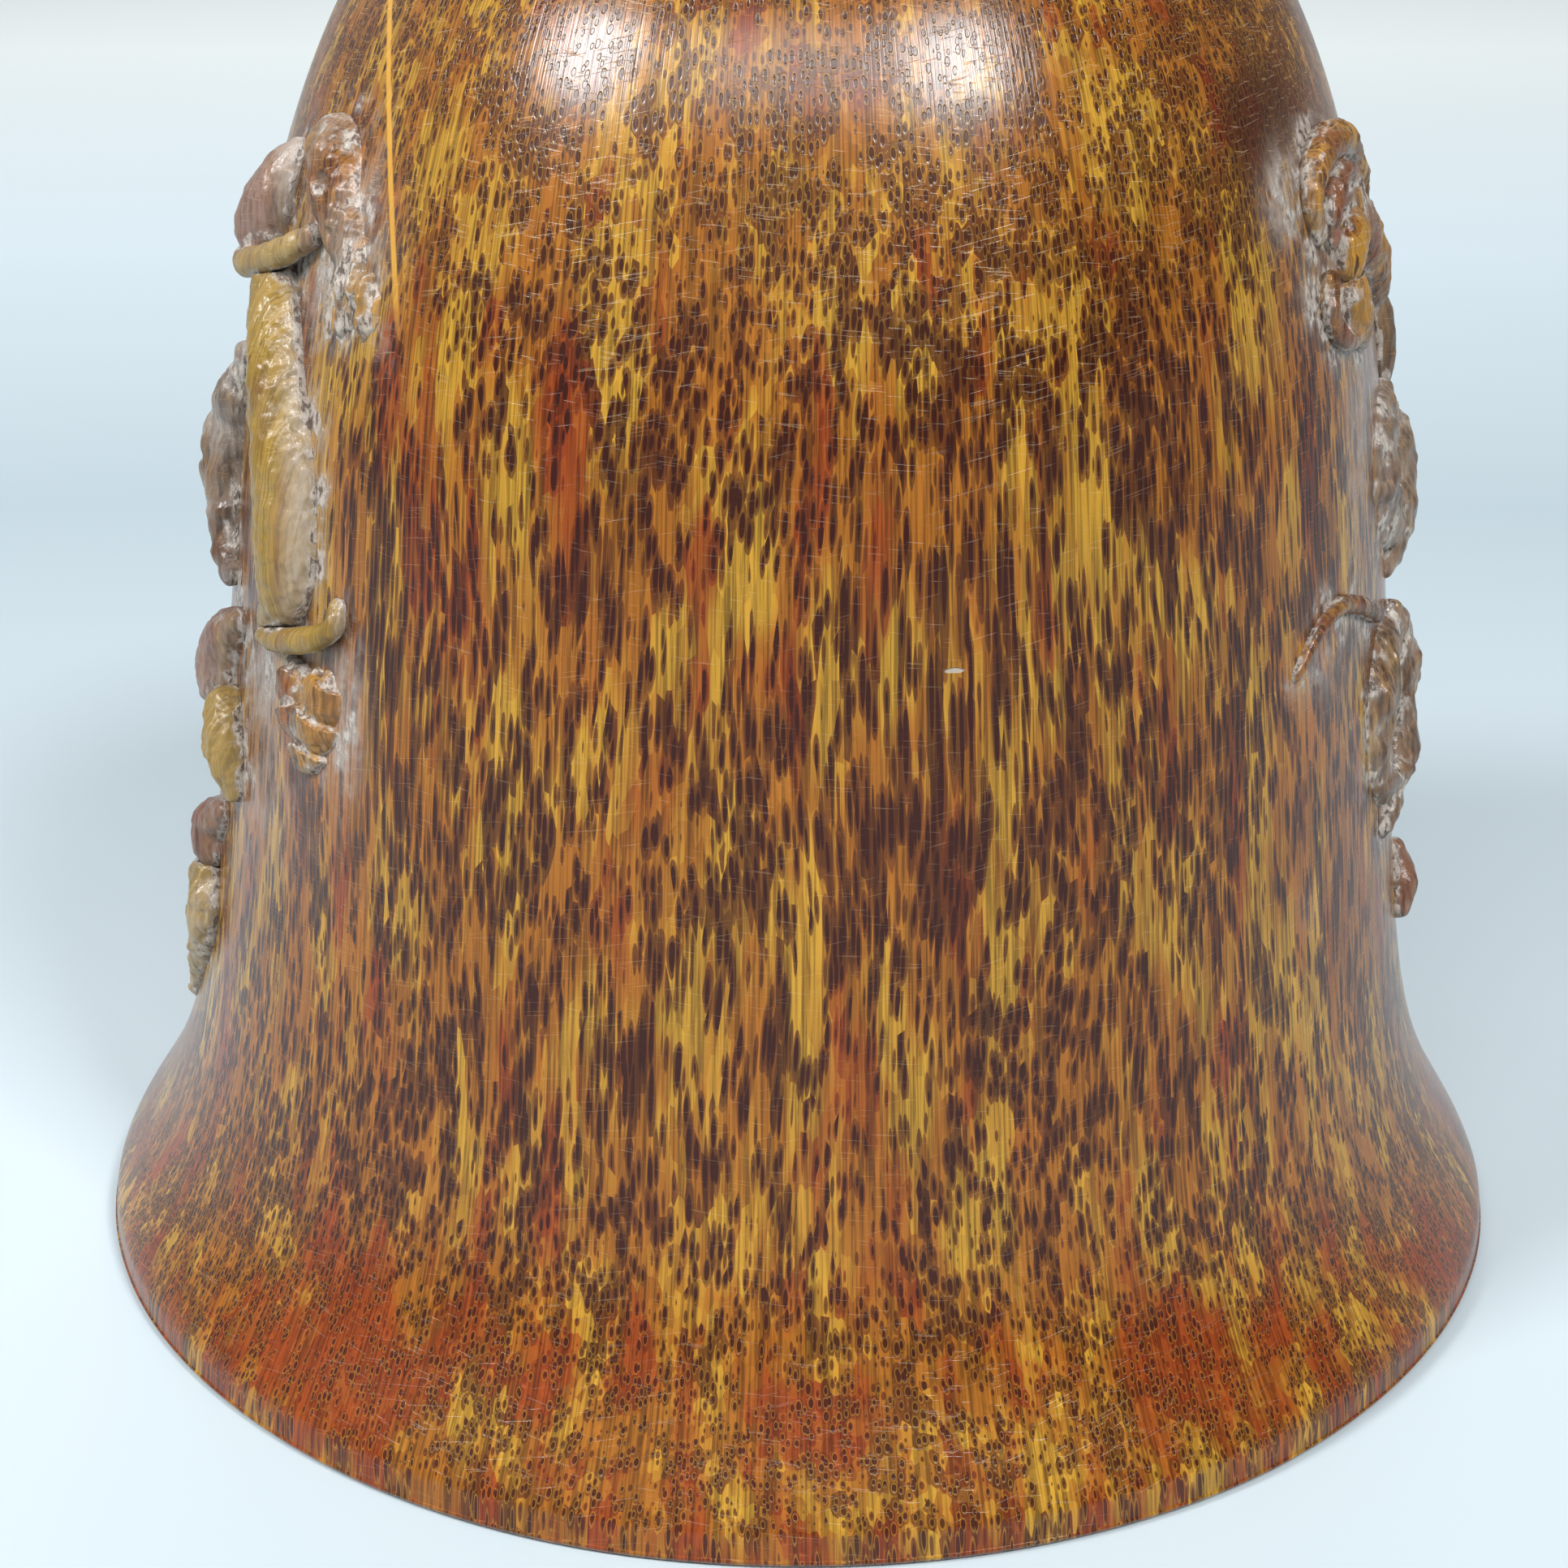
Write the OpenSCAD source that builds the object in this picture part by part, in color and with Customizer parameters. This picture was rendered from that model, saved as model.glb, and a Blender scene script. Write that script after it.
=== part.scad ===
// Carved horn drinking cup, turned over on its flared mouth.
// The mouth rests on the plane z = 0 and the rounded foot end is at the top.
// A turned horn wall is closed at the foot end by a stepped disc of the same horn.
// Carved caps, stems, rocks and cloud scrolls are seated on both sides and on the back.
// The front, towards -Y, is left plain and polished.

/* [Cup] */
// Diameter of the flared mouth across the lip
mouth_d = 112; // [106:1:125]
// Height from the lip to the foot ring
height = 100; // [85:1:125]
// Diameter that the straight taper would have at the table, under the flare
low_d = 99.4; // [94:0.1:104]
// Diameter that the straight taper would have at the foot, without the rounding
high_d = 74; // [70:0.1:80]
// Height over which the mouth flares out
flare_h = 8.6; // [6:0.1:11]
// How sharply the flare bends
flare_bend = 1.3; // [1:0.05:1.8]
// Height of the plain upright edge of the lip
lip_h = 2.2; // [1.5:0.1:3.5]
// Rounding under the lip, where it meets the table
lip_round = 0.7; // [0.4:0.1:1]

/* [Wall] */
// Thickness of the wall in the body
wall_t = 3.6; // [3:0.1:5]
// Thickness of the wall at the lip
lip_t = 2.6; // [2.2:0.1:3.4]
// Thickness of the horn between the cup's floor and the foot ring
end_t = 6; // [5:0.1:9]
// Height of the rounded end, measured down from the foot ring
round_h = 38; // [30:1:45]
// Diameter of the flat foot ring
foot_d = 48; // [44:1:54]
// Diameter of the flat floor inside the cup
floor_d = 40; // [36:1:43]

/* [Base disc] */
// Diameter of the disc's wide step, seen from the foot end
disc_d = 38; // [34:1:41]
// Diameter of the disc's narrow step, seen from inside the cup
disc_inner_d = 32; // [26:1:33]
// Thickness of the disc's wide step
disc_step_t = 2.4; // [1.6:0.1:3]
// How far the disc lies below the foot ring
disc_recess = 0.8; // [0.4:0.1:1.4]
// Clearance around the disc for the glue
glue_gap = 0.05; // [0.02:0.01:0.15]

/* [Carving] */
// How far the carving stands out from the wall
relief_h = 3.2; // [2.4:0.1:4]
// Gap between carved pieces that lie against each other
carve_gap = 0.1; // [0.05:0.01:0.3]
// Width of the cloud scroll on the back
back_scroll_d = 13; // [10:0.5:16]

/* [Hidden] */
// Overrun for cuts
over = 1;
// Facets around the turned wall, where a carved piece is cut to it
wall_fn = 160;
// Facets around a carved strand
carve_fn = 12;
// Steps along a carved strand, between two of its places
carve_steps = 3;
// Rings along the turned outline, outside and inside
outer_rings = 36;
inner_rings = 22;

mouth_r = mouth_d / 2;
low_r = low_d / 2;
high_r = high_d / 2;
foot_r = foot_d / 2;
floor_r = floor_d / 2;
disc_inner_r = disc_inner_d / 2;
round_z = height - round_h;
cavity_h = height - end_t;
step_z = height - disc_recess - disc_step_t;

// Colours of the horn, where it is mottled, dark, red and clear yellow
horn_amber = "#9a6424";
horn_dark = "#6b3a1c";
horn_red = "#8a4520";
horn_yellow = "#b98a3a";

// A cloud scroll's turns, and its eye, band and lift as shares
cloud_turns = 1.6;
cloud_eye_share = 0.2;
cloud_band_share = 0.34;
cloud_lift_share = 0.42;
cloud_thin_share = 0.7;
cloud_steps = 9;

// How far a second strand lies above its cap or rock, as a share of the carving's stand-out
rock_foot_share = -1.2;
rock_top_share = 1.16;
back_lip_share = -0.85;

// Places of the carved strands: azimuth in degrees, height as a share of the cup's height,
// then radius and lift as shares of how far the carving stands out.
// Left side, from the foot end towards the mouth.
upper_cap_shares = [
    [202.5, 0.824, 0.30, 0.00],
    [201.5, 0.808, 0.62, 0.00],
    [200.5, 0.788, 0.85, 0.00],
    [199.5, 0.772, 0.86, 0.00]
];
upper_lip_shares = [
    [198, 0.750, 0.26, 0.45],
    [204, 0.755, 0.32, 0.60],
    [209, 0.765, 0.32, 0.50],
    [214, 0.781, 0.26, 0.20]
];
knot_shares = [
    [211, 0.840, 0.45, -0.05],
    [214, 0.822, 0.95, -0.38],
    [216.5, 0.800, 0.80, -0.30],
    [219.5, 0.780, 0.62, -0.28],
    [221.5, 0.757, 0.50, -0.22],
    [221, 0.735, 0.36, -0.12]
];
knot_foot_shares = [
    [221.5, 0.757, 0.34, -0.10],
    [224, 0.752, 0.44, -0.18],
    [224.5, 0.736, 0.34, -0.12]
];
long_stem_shares = [
    [208, 0.742, 0.60, 0.15],
    [210.5, 0.715, 0.68, 0.20],
    [213, 0.677, 0.72, 0.20],
    [215.5, 0.630, 0.78, 0.18],
    [216.5, 0.578, 0.76, 0.15],
    [216, 0.547, 0.60, 0.10],
    [213, 0.529, 0.40, 0.05]
];
left_rock_shares = [
    [196, 0.680, 0.40, 0.00],
    [193, 0.645, 0.70, 0.00],
    [192, 0.605, 0.84, 0.00],
    [193, 0.565, 0.76, 0.00],
    [197, 0.530, 0.40, 0.00]
];
left_far_rock_shares = [
    [190, 0.622, 0.70, 0.00],
    [184, 0.600, 0.86, 0.00],
    [177, 0.618, 0.80, 0.00],
    [170, 0.588, 0.84, 0.00],
    [163, 0.560, 0.50, 0.00]
];
left_rock_foot_shares = [
    [172, 0.600, 0.60, 0.00],
    [178, 0.582, 0.76, 0.00],
    [185, 0.596, 0.56, 0.00]
];
middle_cap_shares = [
    [203, 0.504, 0.30, 0.10],
    [200, 0.489, 0.60, 0.05],
    [198, 0.468, 0.80, 0.00],
    [198, 0.450, 0.78, 0.00]
];
middle_column_shares = [
    [202, 0.440, 0.50, 0.20],
    [203, 0.424, 0.58, 0.20],
    [204, 0.405, 0.54, 0.15],
    [205, 0.387, 0.34, 0.05]
];
cuff_shares = [
    [224, 0.556, 0.20, 0.05],
    [224, 0.542, 0.24, 0.20],
    [221, 0.531, 0.28, 0.30],
    [217, 0.523, 0.28, 0.35],
    [213, 0.518, 0.20, 0.30]
];
bud_shares = [
    [217.5, 0.499, 0.50, -0.10],
    [218.3, 0.484, 0.75, -0.28],
    [219.3, 0.466, 0.72, -0.28],
    [220.5, 0.446, 0.40, -0.10]
];
bud_right_shares = [
    [222.6, 0.500, 0.45, -0.10],
    [222, 0.485, 0.72, -0.27],
    [221.4, 0.467, 0.70, -0.25],
    [220.5, 0.446, 0.40, -0.10]
];
lower_cap_shares = [
    [200, 0.354, 0.26, 0.00],
    [198, 0.344, 0.48, 0.00],
    [196, 0.331, 0.64, 0.00],
    [196, 0.318, 0.62, 0.00]
];
lower_column_shares = [
    [196, 0.293, 0.46, 0.15],
    [197, 0.272, 0.52, 0.15],
    [196, 0.244, 0.46, 0.10],
    [192, 0.207, 0.38, 0.00],
    [187, 0.162, 0.26, -0.05]
];
// Right side, from the foot end towards the mouth.
scroll_pad_shares = [
    [328, 0.795, 0.55, -0.38],
    [332, 0.800, 0.70, -0.45],
    [336, 0.790, 0.85, -0.42],
    [339, 0.775, 0.85, -0.34],
    [342, 0.760, 0.75, -0.20],
    [345, 0.742, 0.62, -0.08],
    [347, 0.722, 0.40, 0.00]
];
scroll_outer_shares = [
    [326.5, 0.780, 0.20, 0.05],
    [325.5, 0.800, 0.24, 0.15],
    [327, 0.822, 0.32, 0.22],
    [331.5, 0.834, 0.40, 0.22],
    [336.5, 0.832, 0.40, 0.20],
    [341, 0.820, 0.34, 0.15],
    [345, 0.800, 0.30, 0.10],
    [345, 0.780, 0.28, 0.05],
    [342, 0.760, 0.25, 0.00]
];
scroll_middle_shares = [
    [329, 0.775, 0.20, 0.10],
    [328.5, 0.795, 0.26, 0.22],
    [331, 0.811, 0.28, 0.28],
    [335, 0.813, 0.28, 0.25],
    [338.5, 0.801, 0.26, 0.18],
    [339, 0.775, 0.22, 0.10]
];
scroll_inner_shares = [
    [336, 0.790, 0.35, 0.15],
    [335, 0.778, 0.45, 0.08],
    [333.5, 0.765, 0.52, 0.03],
    [333, 0.755, 0.42, 0.00]
];
small_scroll_shares = [
    [333.5, 0.742, 0.45, -0.02],
    [333, 0.727, 0.55, -0.08],
    [333.5, 0.713, 0.40, -0.02],
    [336, 0.704, 0.25, 0.00]
];
small_scroll_rim_shares = [
    [327, 0.752, 0.20, 0.10],
    [326, 0.735, 0.24, 0.12],
    [327.5, 0.718, 0.24, 0.10],
    [330.5, 0.709, 0.22, 0.06],
    [333.5, 0.713, 0.30, 0.00]
];
right_strip_shares = [
    [354, 0.703, 0.36, 0.10],
    [354, 0.683, 0.40, 0.12],
    [354, 0.664, 0.38, 0.10],
    [354, 0.648, 0.28, 0.05]
];
right_rock_shares = [
    [352, 0.640, 0.40, 0.00],
    [351, 0.618, 0.62, 0.00],
    [350, 0.590, 0.80, 0.00],
    [349, 0.560, 0.72, 0.00],
    [346, 0.525, 0.35, 0.00]
];
right_near_rock_shares = [
    [351, 0.618, 0.50, -0.05],
    [346, 0.634, 0.70, -0.30],
    [342, 0.622, 0.95, -0.52],
    [341.5, 0.600, 1.00, -0.55],
    [342, 0.575, 0.95, -0.52],
    [345.5, 0.556, 0.70, -0.30],
    [349, 0.560, 0.45, 0.00]
];
right_far_rock_shares = [
    [353, 0.600, 0.70, 0.00],
    [360, 0.580, 0.84, 0.00],
    [367, 0.600, 0.78, 0.00],
    [374, 0.570, 0.80, 0.00],
    [380, 0.545, 0.46, 0.00]
];
right_rock_foot_shares = [
    [371, 0.586, 0.60, 0.00],
    [366, 0.570, 0.74, 0.00],
    [360, 0.586, 0.56, 0.00]
];
right_ridge_shares = [
    [317, 0.508, 0.14, 0.00],
    [320.5, 0.530, 0.18, 0.03],
    [325, 0.541, 0.20, 0.05],
    [330, 0.531, 0.22, 0.05],
    [335, 0.515, 0.22, 0.05]
];
right_crag_shares = [
    [344, 0.492, 0.35, 0.00],
    [346, 0.474, 0.68, 0.00],
    [346, 0.450, 0.82, 0.00],
    [344, 0.423, 0.70, 0.00],
    [343, 0.398, 0.74, 0.00],
    [340, 0.373, 0.50, 0.00],
    [337, 0.350, 0.30, 0.00]
];
right_near_crag_shares = [
    [346, 0.474, 0.50, -0.05],
    [340.5, 0.478, 0.80, -0.35],
    [337, 0.460, 1.00, -0.55],
    [336, 0.435, 1.00, -0.56],
    [335.5, 0.410, 0.90, -0.50],
    [336.5, 0.388, 0.65, -0.28],
    [340, 0.373, 0.45, -0.02]
];
right_far_crag_shares = [
    [349, 0.440, 0.70, 0.00],
    [356, 0.418, 0.84, 0.00],
    [363, 0.432, 0.76, 0.00],
    [370, 0.398, 0.80, 0.00],
    [377, 0.372, 0.46, 0.00]
];
right_knob_shares = [
    [350, 0.292, 0.26, 0.05],
    [350, 0.280, 0.36, 0.10],
    [349, 0.266, 0.42, 0.15],
    [348, 0.252, 0.34, 0.05]
];
// Back, from the right side round to the left side.
back_rock_shares = [
    [26, 0.300, 0.50, 0.00],
    [36, 0.335, 0.85, 0.00],
    [48, 0.300, 0.95, 0.00],
    [61, 0.340, 0.90, 0.00],
    [76, 0.285, 0.85, 0.00],
    [93, 0.255, 0.80, 0.00],
    [110, 0.268, 0.80, 0.00],
    [124, 0.235, 0.50, 0.00]
];
back_rock_top_shares = [
    [37, 0.335, 0.60, 0.00],
    [43, 0.361, 0.82, 0.00],
    [50, 0.335, 0.76, 0.00],
    [57, 0.315, 0.60, 0.00]
];
back_stem_shares = [
    [62, 0.378, 0.60, 0.10],
    [72, 0.440, 0.72, 0.20],
    [84, 0.500, 0.78, 0.22],
    [96, 0.560, 0.78, 0.22],
    [108, 0.615, 0.74, 0.20],
    [117, 0.672, 0.66, 0.20]
];
back_cap_shares = [
    [101, 0.722, 0.50, 0.00],
    [109, 0.735, 0.85, 0.00],
    [120, 0.742, 1.00, 0.00],
    [131, 0.735, 0.85, 0.00],
    [139, 0.722, 0.50, 0.00]
];
back_lip_shares = [
    [100, 0.737, 0.24, 0.30],
    [109, 0.735, 0.30, 0.50],
    [120, 0.734, 0.32, 0.60],
    [131, 0.735, 0.30, 0.50],
    [140, 0.737, 0.24, 0.30]
];
small_cap_shares = [
    [112, 0.420, 0.42, 0.00],
    [119, 0.430, 0.76, 0.00],
    [127, 0.432, 0.82, 0.00],
    [135, 0.422, 0.50, 0.00]
];
small_stem_shares = [
    [124, 0.388, 0.46, 0.15],
    [123, 0.350, 0.50, 0.15],
    [120, 0.310, 0.48, 0.10],
    [114, 0.272, 0.44, 0.05]
];

cloud_tail_shares = [
    [55, 0.628, 0.34, 0.25],
    [66, 0.618, 0.42, 0.20],
    [77, 0.630, 0.38, 0.20],
    [87, 0.656, 0.26, 0.10]
];

// Place of the back's cloud scroll: azimuth, height share, angle where the band starts, hand
back_scroll_share = [55, 0.680, 120, 1];

// Share of the flare that is left at height z
function flare_share(z) = z <= 0 ? 1 : exp(-pow(z / flare_h, flare_bend));

// Share of a quarter round, from 0 where it starts to 1 where it ends
function round_share(t) = t <= 0 ? 0 : t >= 1 ? 1 : 1 - sqrt(1 - t * t);

// Radius of the straight taper and the flare at height z
function flared_r(z) =
    low_r + (high_r - low_r) * z / height
    + (mouth_r - low_r) * flare_share(z - lip_h);

// Radius of the outside at height z
function wall_r(z) = flared_r(z) - (high_r - foot_r) * round_share((z - round_z) / round_h);

// Radius of the inside at height z, closing to the flat floor
function inside_r(z) =
    let(room_r = flared_r(z) - wall_t + (wall_t - lip_t) * flare_share(z))
    let(end_r = flared_r(cavity_h) - wall_t)
    room_r - (end_r - floor_r) * round_share((z - round_z) / (cavity_h - round_z));

// Heights that crowd towards both ends of a stretch
function crowded(first, last, i, n) = first + (last - first) * (1 - cos(180 * i / n)) / 2;

// Outline of the outside, from the lip to the foot ring
outer_line = [
    for (i = [0:outer_rings])
        let(z = crowded(lip_h, height, i, outer_rings))
        [wall_r(z), z]
];

// Outline of the inside, from the floor to the mouth
inner_line = [
    for (i = [0:inner_rings])
        let(z = crowded(cavity_h, lip_round, i, inner_rings))
        [inside_r(z), z]
];

// Place on the outside of the wall: azimuth, height as a share, lift off the wall
function wall_place(az, up_share, lift) =
    let(r = wall_r(up_share * height) + lift)
    [r * cos(az), r * sin(az), up_share * height];

// One value of a smooth curve through a, b, c and d, between b and c
function smooth(a, b, c, d, t) =
    b + (c - a) * t / 2
    + (2 * a - 5 * b + 4 * c - d) * t * t / 2
    + (3 * b - a - 3 * c + d) * t * t * t / 2;

// A route made smooth, with carve_steps steps between its places
function smooth_route(route) =
    let(last = len(route) - 1)
    [
        for (i = [0:last - 1], k = [0:carve_steps - 1])
            smooth(route[max(i - 1, 0)], route[i], route[i + 1], route[min(i + 2, last)], k / carve_steps),
        route[last]
    ];

// A route moved up the wall by a share of the carving's stand-out
function raised(route, up_share) = [
    for (p = route)
        [p[0], p[1] + up_share * relief_h / height, p[2], p[3]]
];

// Second strands, from the places of the caps and rocks that they belong to
left_rock_foot = raised(left_rock_foot_shares, rock_foot_share);
right_rock_foot = raised(right_rock_foot_shares, rock_foot_share);
back_rock_top = raised(back_rock_top_shares, rock_top_share);
back_lip = raised(back_lip_shares, back_lip_share);

// A flat spiral on the wall, as a route from its outer end in to its eye
function cloud_route(at, wide) =
    let(n = ceil(cloud_turns * cloud_steps))
    let(around_r = wall_r(at[1] * height))
    [
        for (i = [0:n])
            let(t = i / n)
            let(reach = wide / 2 * (1 - (1 - cloud_eye_share) * t))
            let(turn = at[2] + at[3] * 360 * cloud_turns * t)
            [
                at[0] + reach * cos(turn) / around_r * 180 / PI,
                at[1] + reach * sin(turn) / height,
                cloud_band_share * (1 - (1 - cloud_thin_share) * t),
                cloud_lift_share
            ]
    ];

// A ball of a carved strand
module carved_ball(p, grow) {
    translate(wall_place(p[0], p[1], p[3] * relief_h))
        sphere(r = p[2] * relief_h + grow, $fn = carve_fn);
}

// Balls joined along a route
module chain(route, grow = 0) {
    for (i = [0:len(route) - 2])
        hull() {
            carved_ball(route[i], grow);
            carved_ball(route[i + 1], grow);
        }
}

// Balls joined along a smooth curve through a few places
module strand(route, grow = 0) {
    chain(smooth_route(route), grow);
}

// The turned form of the wall, taken solid
module wall_core() {
    rotate_extrude($fn = wall_fn)
        polygon(concat([[0, 0], [mouth_r, 0]], outer_line, [[0, height]]));
}

// A carved piece of one or more strands, cut to the wall and clear of its neighbours
module carved(routes) {
    difference() {
        for (route = routes)
            strand(route);
        wall_core();
        children();
    }
}

// A neighbour that a carved piece stays clear of
module clear_of(route) {
    strand(route, carve_gap);
}

module horn_wall() {
    color(horn_amber)
        difference() {
            rotate_extrude($fn = wall_fn)
                polygon(concat(
                    [[mouth_r - lip_round, 0], [mouth_r, lip_round]],
                    outer_line,
                    [[disc_inner_r, height], [disc_inner_r, cavity_h]],
                    inner_line,
                    [[inside_r(lip_round) + lip_round, 0]]
                ));
            translate([0, 0, step_z])
                cylinder(d = disc_d, h = height - step_z + over, $fn = wall_fn);
        }
}

module base_disc() {
    color(horn_dark) {
        translate([0, 0, step_z])
            cylinder(d = disc_d - 2 * glue_gap, h = disc_step_t, $fn = wall_fn);
        translate([0, 0, cavity_h])
            cylinder(d = disc_inner_d - 2 * glue_gap, h = step_z - cavity_h, $fn = wall_fn);
    }
}

module left_upper_cap() {
    color(horn_red)
        carved([upper_cap_shares, upper_lip_shares]);
}

module left_knot() {
    color(horn_amber)
        carved([knot_shares, knot_foot_shares]) {
            clear_of(upper_cap_shares);
            clear_of(upper_lip_shares);
        }
}

module left_long_stem() {
    color(horn_yellow)
        carved([long_stem_shares]) {
            clear_of(upper_lip_shares);
            clear_of(cuff_shares);
        }
}

module left_rock() {
    color(horn_dark)
        carved([left_rock_shares, left_far_rock_shares, left_rock_foot])
            clear_of(long_stem_shares);
}

module left_middle_cap() {
    color(horn_red)
        carved([middle_cap_shares])
            clear_of(left_rock_shares);
}

module left_middle_column() {
    color(horn_yellow)
        carved([middle_column_shares])
            clear_of(middle_cap_shares);
}

module left_cuff() {
    color(horn_yellow)
        carved([cuff_shares]);
}

module left_bud() {
    color(horn_amber)
        carved([bud_shares, bud_right_shares]) {
            clear_of(long_stem_shares);
            clear_of(cuff_shares);
        }
}

module left_lower_cap() {
    color(horn_red)
        carved([lower_cap_shares])
            clear_of(middle_column_shares);
}

module left_lower_column() {
    color(horn_yellow)
        carved([lower_column_shares])
            clear_of(lower_cap_shares);
}

module right_scroll() {
    color(horn_amber)
        carved([scroll_pad_shares, scroll_outer_shares, scroll_middle_shares, scroll_inner_shares]);
}

// The right cloud, as a neighbour that carved pieces stay clear of
module clear_of_scroll() {
    clear_of(scroll_pad_shares);
    clear_of(scroll_outer_shares);
    clear_of(scroll_inner_shares);
}

module right_small_scroll() {
    color(horn_amber)
        carved([small_scroll_shares, small_scroll_rim_shares])
            clear_of_scroll();
}

module right_strip() {
    color(horn_dark)
        carved([right_strip_shares])
            clear_of_scroll();
}

module right_rock() {
    color(horn_dark)
        carved([right_rock_shares, right_near_rock_shares, right_far_rock_shares, right_rock_foot])
            clear_of(right_strip_shares);
}

module right_ridge() {
    color(horn_amber)
        carved([right_ridge_shares]) {
            clear_of(right_crag_shares);
            clear_of(right_near_crag_shares);
            clear_of(right_far_crag_shares);
            clear_of(right_rock_shares);
        }
}

module right_crag() {
    color(horn_dark)
        carved([right_crag_shares, right_near_crag_shares, right_far_crag_shares])
            clear_of(right_rock_shares);
}

module right_knob() {
    color(horn_red)
        carved([right_knob_shares])
            clear_of(right_far_crag_shares);
}

module back_rock() {
    color(horn_dark)
        carved([back_rock_shares, back_rock_top]);
}

module back_stem() {
    color(horn_yellow)
        carved([back_stem_shares]) {
            clear_of(back_rock_shares);
            clear_of(back_rock_top);
            clear_of(back_lip);
        }
}

module back_cap() {
    color(horn_red)
        carved([back_cap_shares, back_lip]);
}

module back_small_cap() {
    color(horn_red)
        carved([small_cap_shares]);
}

module back_small_stem() {
    color(horn_yellow)
        carved([small_stem_shares]) {
            clear_of(small_cap_shares);
            clear_of(back_rock_shares);
        }
}

module back_scroll() {
    color(horn_amber)
        difference() {
            union() {
                chain(cloud_route(back_scroll_share, back_scroll_d));
                strand(cloud_tail_shares);
            }
            wall_core();
        }
}

horn_wall();
base_disc();
left_upper_cap();
left_knot();
left_long_stem();
left_rock();
left_middle_cap();
left_middle_column();
left_cuff();
left_bud();
left_lower_cap();
left_lower_column();
right_scroll();
right_small_scroll();
right_strip();
right_rock();
right_ridge();
right_crag();
right_knob();
back_rock();
back_stem();
back_cap();
back_small_cap();
back_small_stem();
back_scroll();
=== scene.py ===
import functools
import math

import bpy
import numpy as np
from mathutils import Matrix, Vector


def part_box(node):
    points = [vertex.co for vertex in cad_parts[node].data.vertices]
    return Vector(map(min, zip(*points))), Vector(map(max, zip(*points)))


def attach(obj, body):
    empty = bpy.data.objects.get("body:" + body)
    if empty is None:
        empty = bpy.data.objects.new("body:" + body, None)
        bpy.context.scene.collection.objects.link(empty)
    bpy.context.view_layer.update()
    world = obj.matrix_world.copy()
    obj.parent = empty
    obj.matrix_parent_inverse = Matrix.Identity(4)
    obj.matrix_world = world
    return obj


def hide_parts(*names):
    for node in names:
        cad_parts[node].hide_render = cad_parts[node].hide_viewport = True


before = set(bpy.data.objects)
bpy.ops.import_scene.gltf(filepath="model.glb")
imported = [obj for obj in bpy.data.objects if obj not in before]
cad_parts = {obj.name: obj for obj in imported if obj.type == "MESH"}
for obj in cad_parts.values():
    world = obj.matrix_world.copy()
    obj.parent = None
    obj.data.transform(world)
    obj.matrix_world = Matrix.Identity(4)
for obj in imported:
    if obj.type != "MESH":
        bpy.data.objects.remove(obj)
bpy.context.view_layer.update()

MM = 0.001

# Kinds of node that are used in many places
MATH = "ShaderNodeMath"
VECTORS = "ShaderNodeVectorMath"
RANGE = "ShaderNodeMapRange"
NOISE = "ShaderNodeTexNoise"

# Sizes of the cup

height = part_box("horn_wall")[1].z / MM
mouth_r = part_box("horn_wall")[1].x / MM
low_r = 49.7
high_r = 37
flare_h = 8.6
flare_bend = 1.3
lip_h = 2.2
lip_round = 0.7
wall_t = 3.6
lip_t = 2.6
cavity_h = 94
step_z = 96.8
round_h = 38
foot_r = 24
floor_r = 20
disc_r = 19
disc_inner_r = 16
disc_step_t = 2.4
glue_gap = 0.05
edge_round = 0.3
relief_h = 3.2
carve_gap = 0.1
back_scroll_d = 13

# How the real cup departs from the true turned form
lean_share = 0.0106
pull_in = 1.1
pull_in_azimuth = 22
pull_in_width = 42
pull_in_height = 22
uneven = 0.12
uneven_cell = 19

# The photograph's camera
picture_size = 1932
lens_mm = 56
sensor_mm = 36
camera_place = (-1.338, -180.495, 104.253)
camera_pitch = 22.023


def flare_share(z):
    """How much of the mouth's flare is left at height z."""
    return np.exp(-(np.maximum(z, 0) / flare_h) ** flare_bend)


def round_share(t):
    """A quarter of a circle, from 0 to 1."""
    t = np.clip(t, 0, 1)
    return 1 - np.sqrt(1 - t * t)


def flared_r(z):
    """Radius of the outside before its end is rounded."""
    return low_r + (high_r - low_r) * z / height + (mouth_r - low_r) * flare_share(z - lip_h)


def wall_r(z):
    """Radius of the outside at height z."""
    return flared_r(z) - (high_r - foot_r) * round_share((z - height + round_h) / round_h)


def inside_r(z):
    """Radius of the inside at height z, closing to the flat floor."""
    room_r = flared_r(z) - wall_t + (wall_t - lip_t) * flare_share(z)
    end_r = flared_r(cavity_h) - wall_t
    start = height - round_h
    return room_r - (end_r - floor_r) * round_share((z - start) / (cavity_h - start))


# Random values that are the same on every run

def lattice(cells, seed):
    """A fixed random value, 0 to 1, for each whole-numbered place."""
    mixed = cells[..., 0] * 73856093 ^ cells[..., 1] * 19349663 ^ cells[..., 2] * 83492791 ^ seed * 2654435761
    mixed = (mixed ^ (mixed >> 13)) * 1274126177 & 0xFFFFFFFF
    mixed = (mixed ^ (mixed >> 16)) * 668265263 & 0xFFFFFFFF
    return (mixed ^ (mixed >> 15) & 0xFFFF) / 0xFFFFFFFF


def soft_noise(places, cell, seed):
    """Smooth random values, -1 to 1, that change over about one cell."""
    scaled = places / cell
    low = np.floor(scaled).astype(np.int64)
    part = scaled - low
    part = part * part * (3 - 2 * part)
    total = np.zeros(places.shape[:-1])
    for corner in np.ndindex(2, 2, 2):
        share = np.prod(np.where(corner, part, 1 - part), axis=-1)
        total += share * lattice(low + corner, seed)
    return 2 * total - 1


def step_between(low, high, value):
    """A soft step: 0 under low, 1 over high."""
    t = np.clip((value - low) / (high - low), 0, 1)
    return t * t * (3 - 2 * t)


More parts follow.
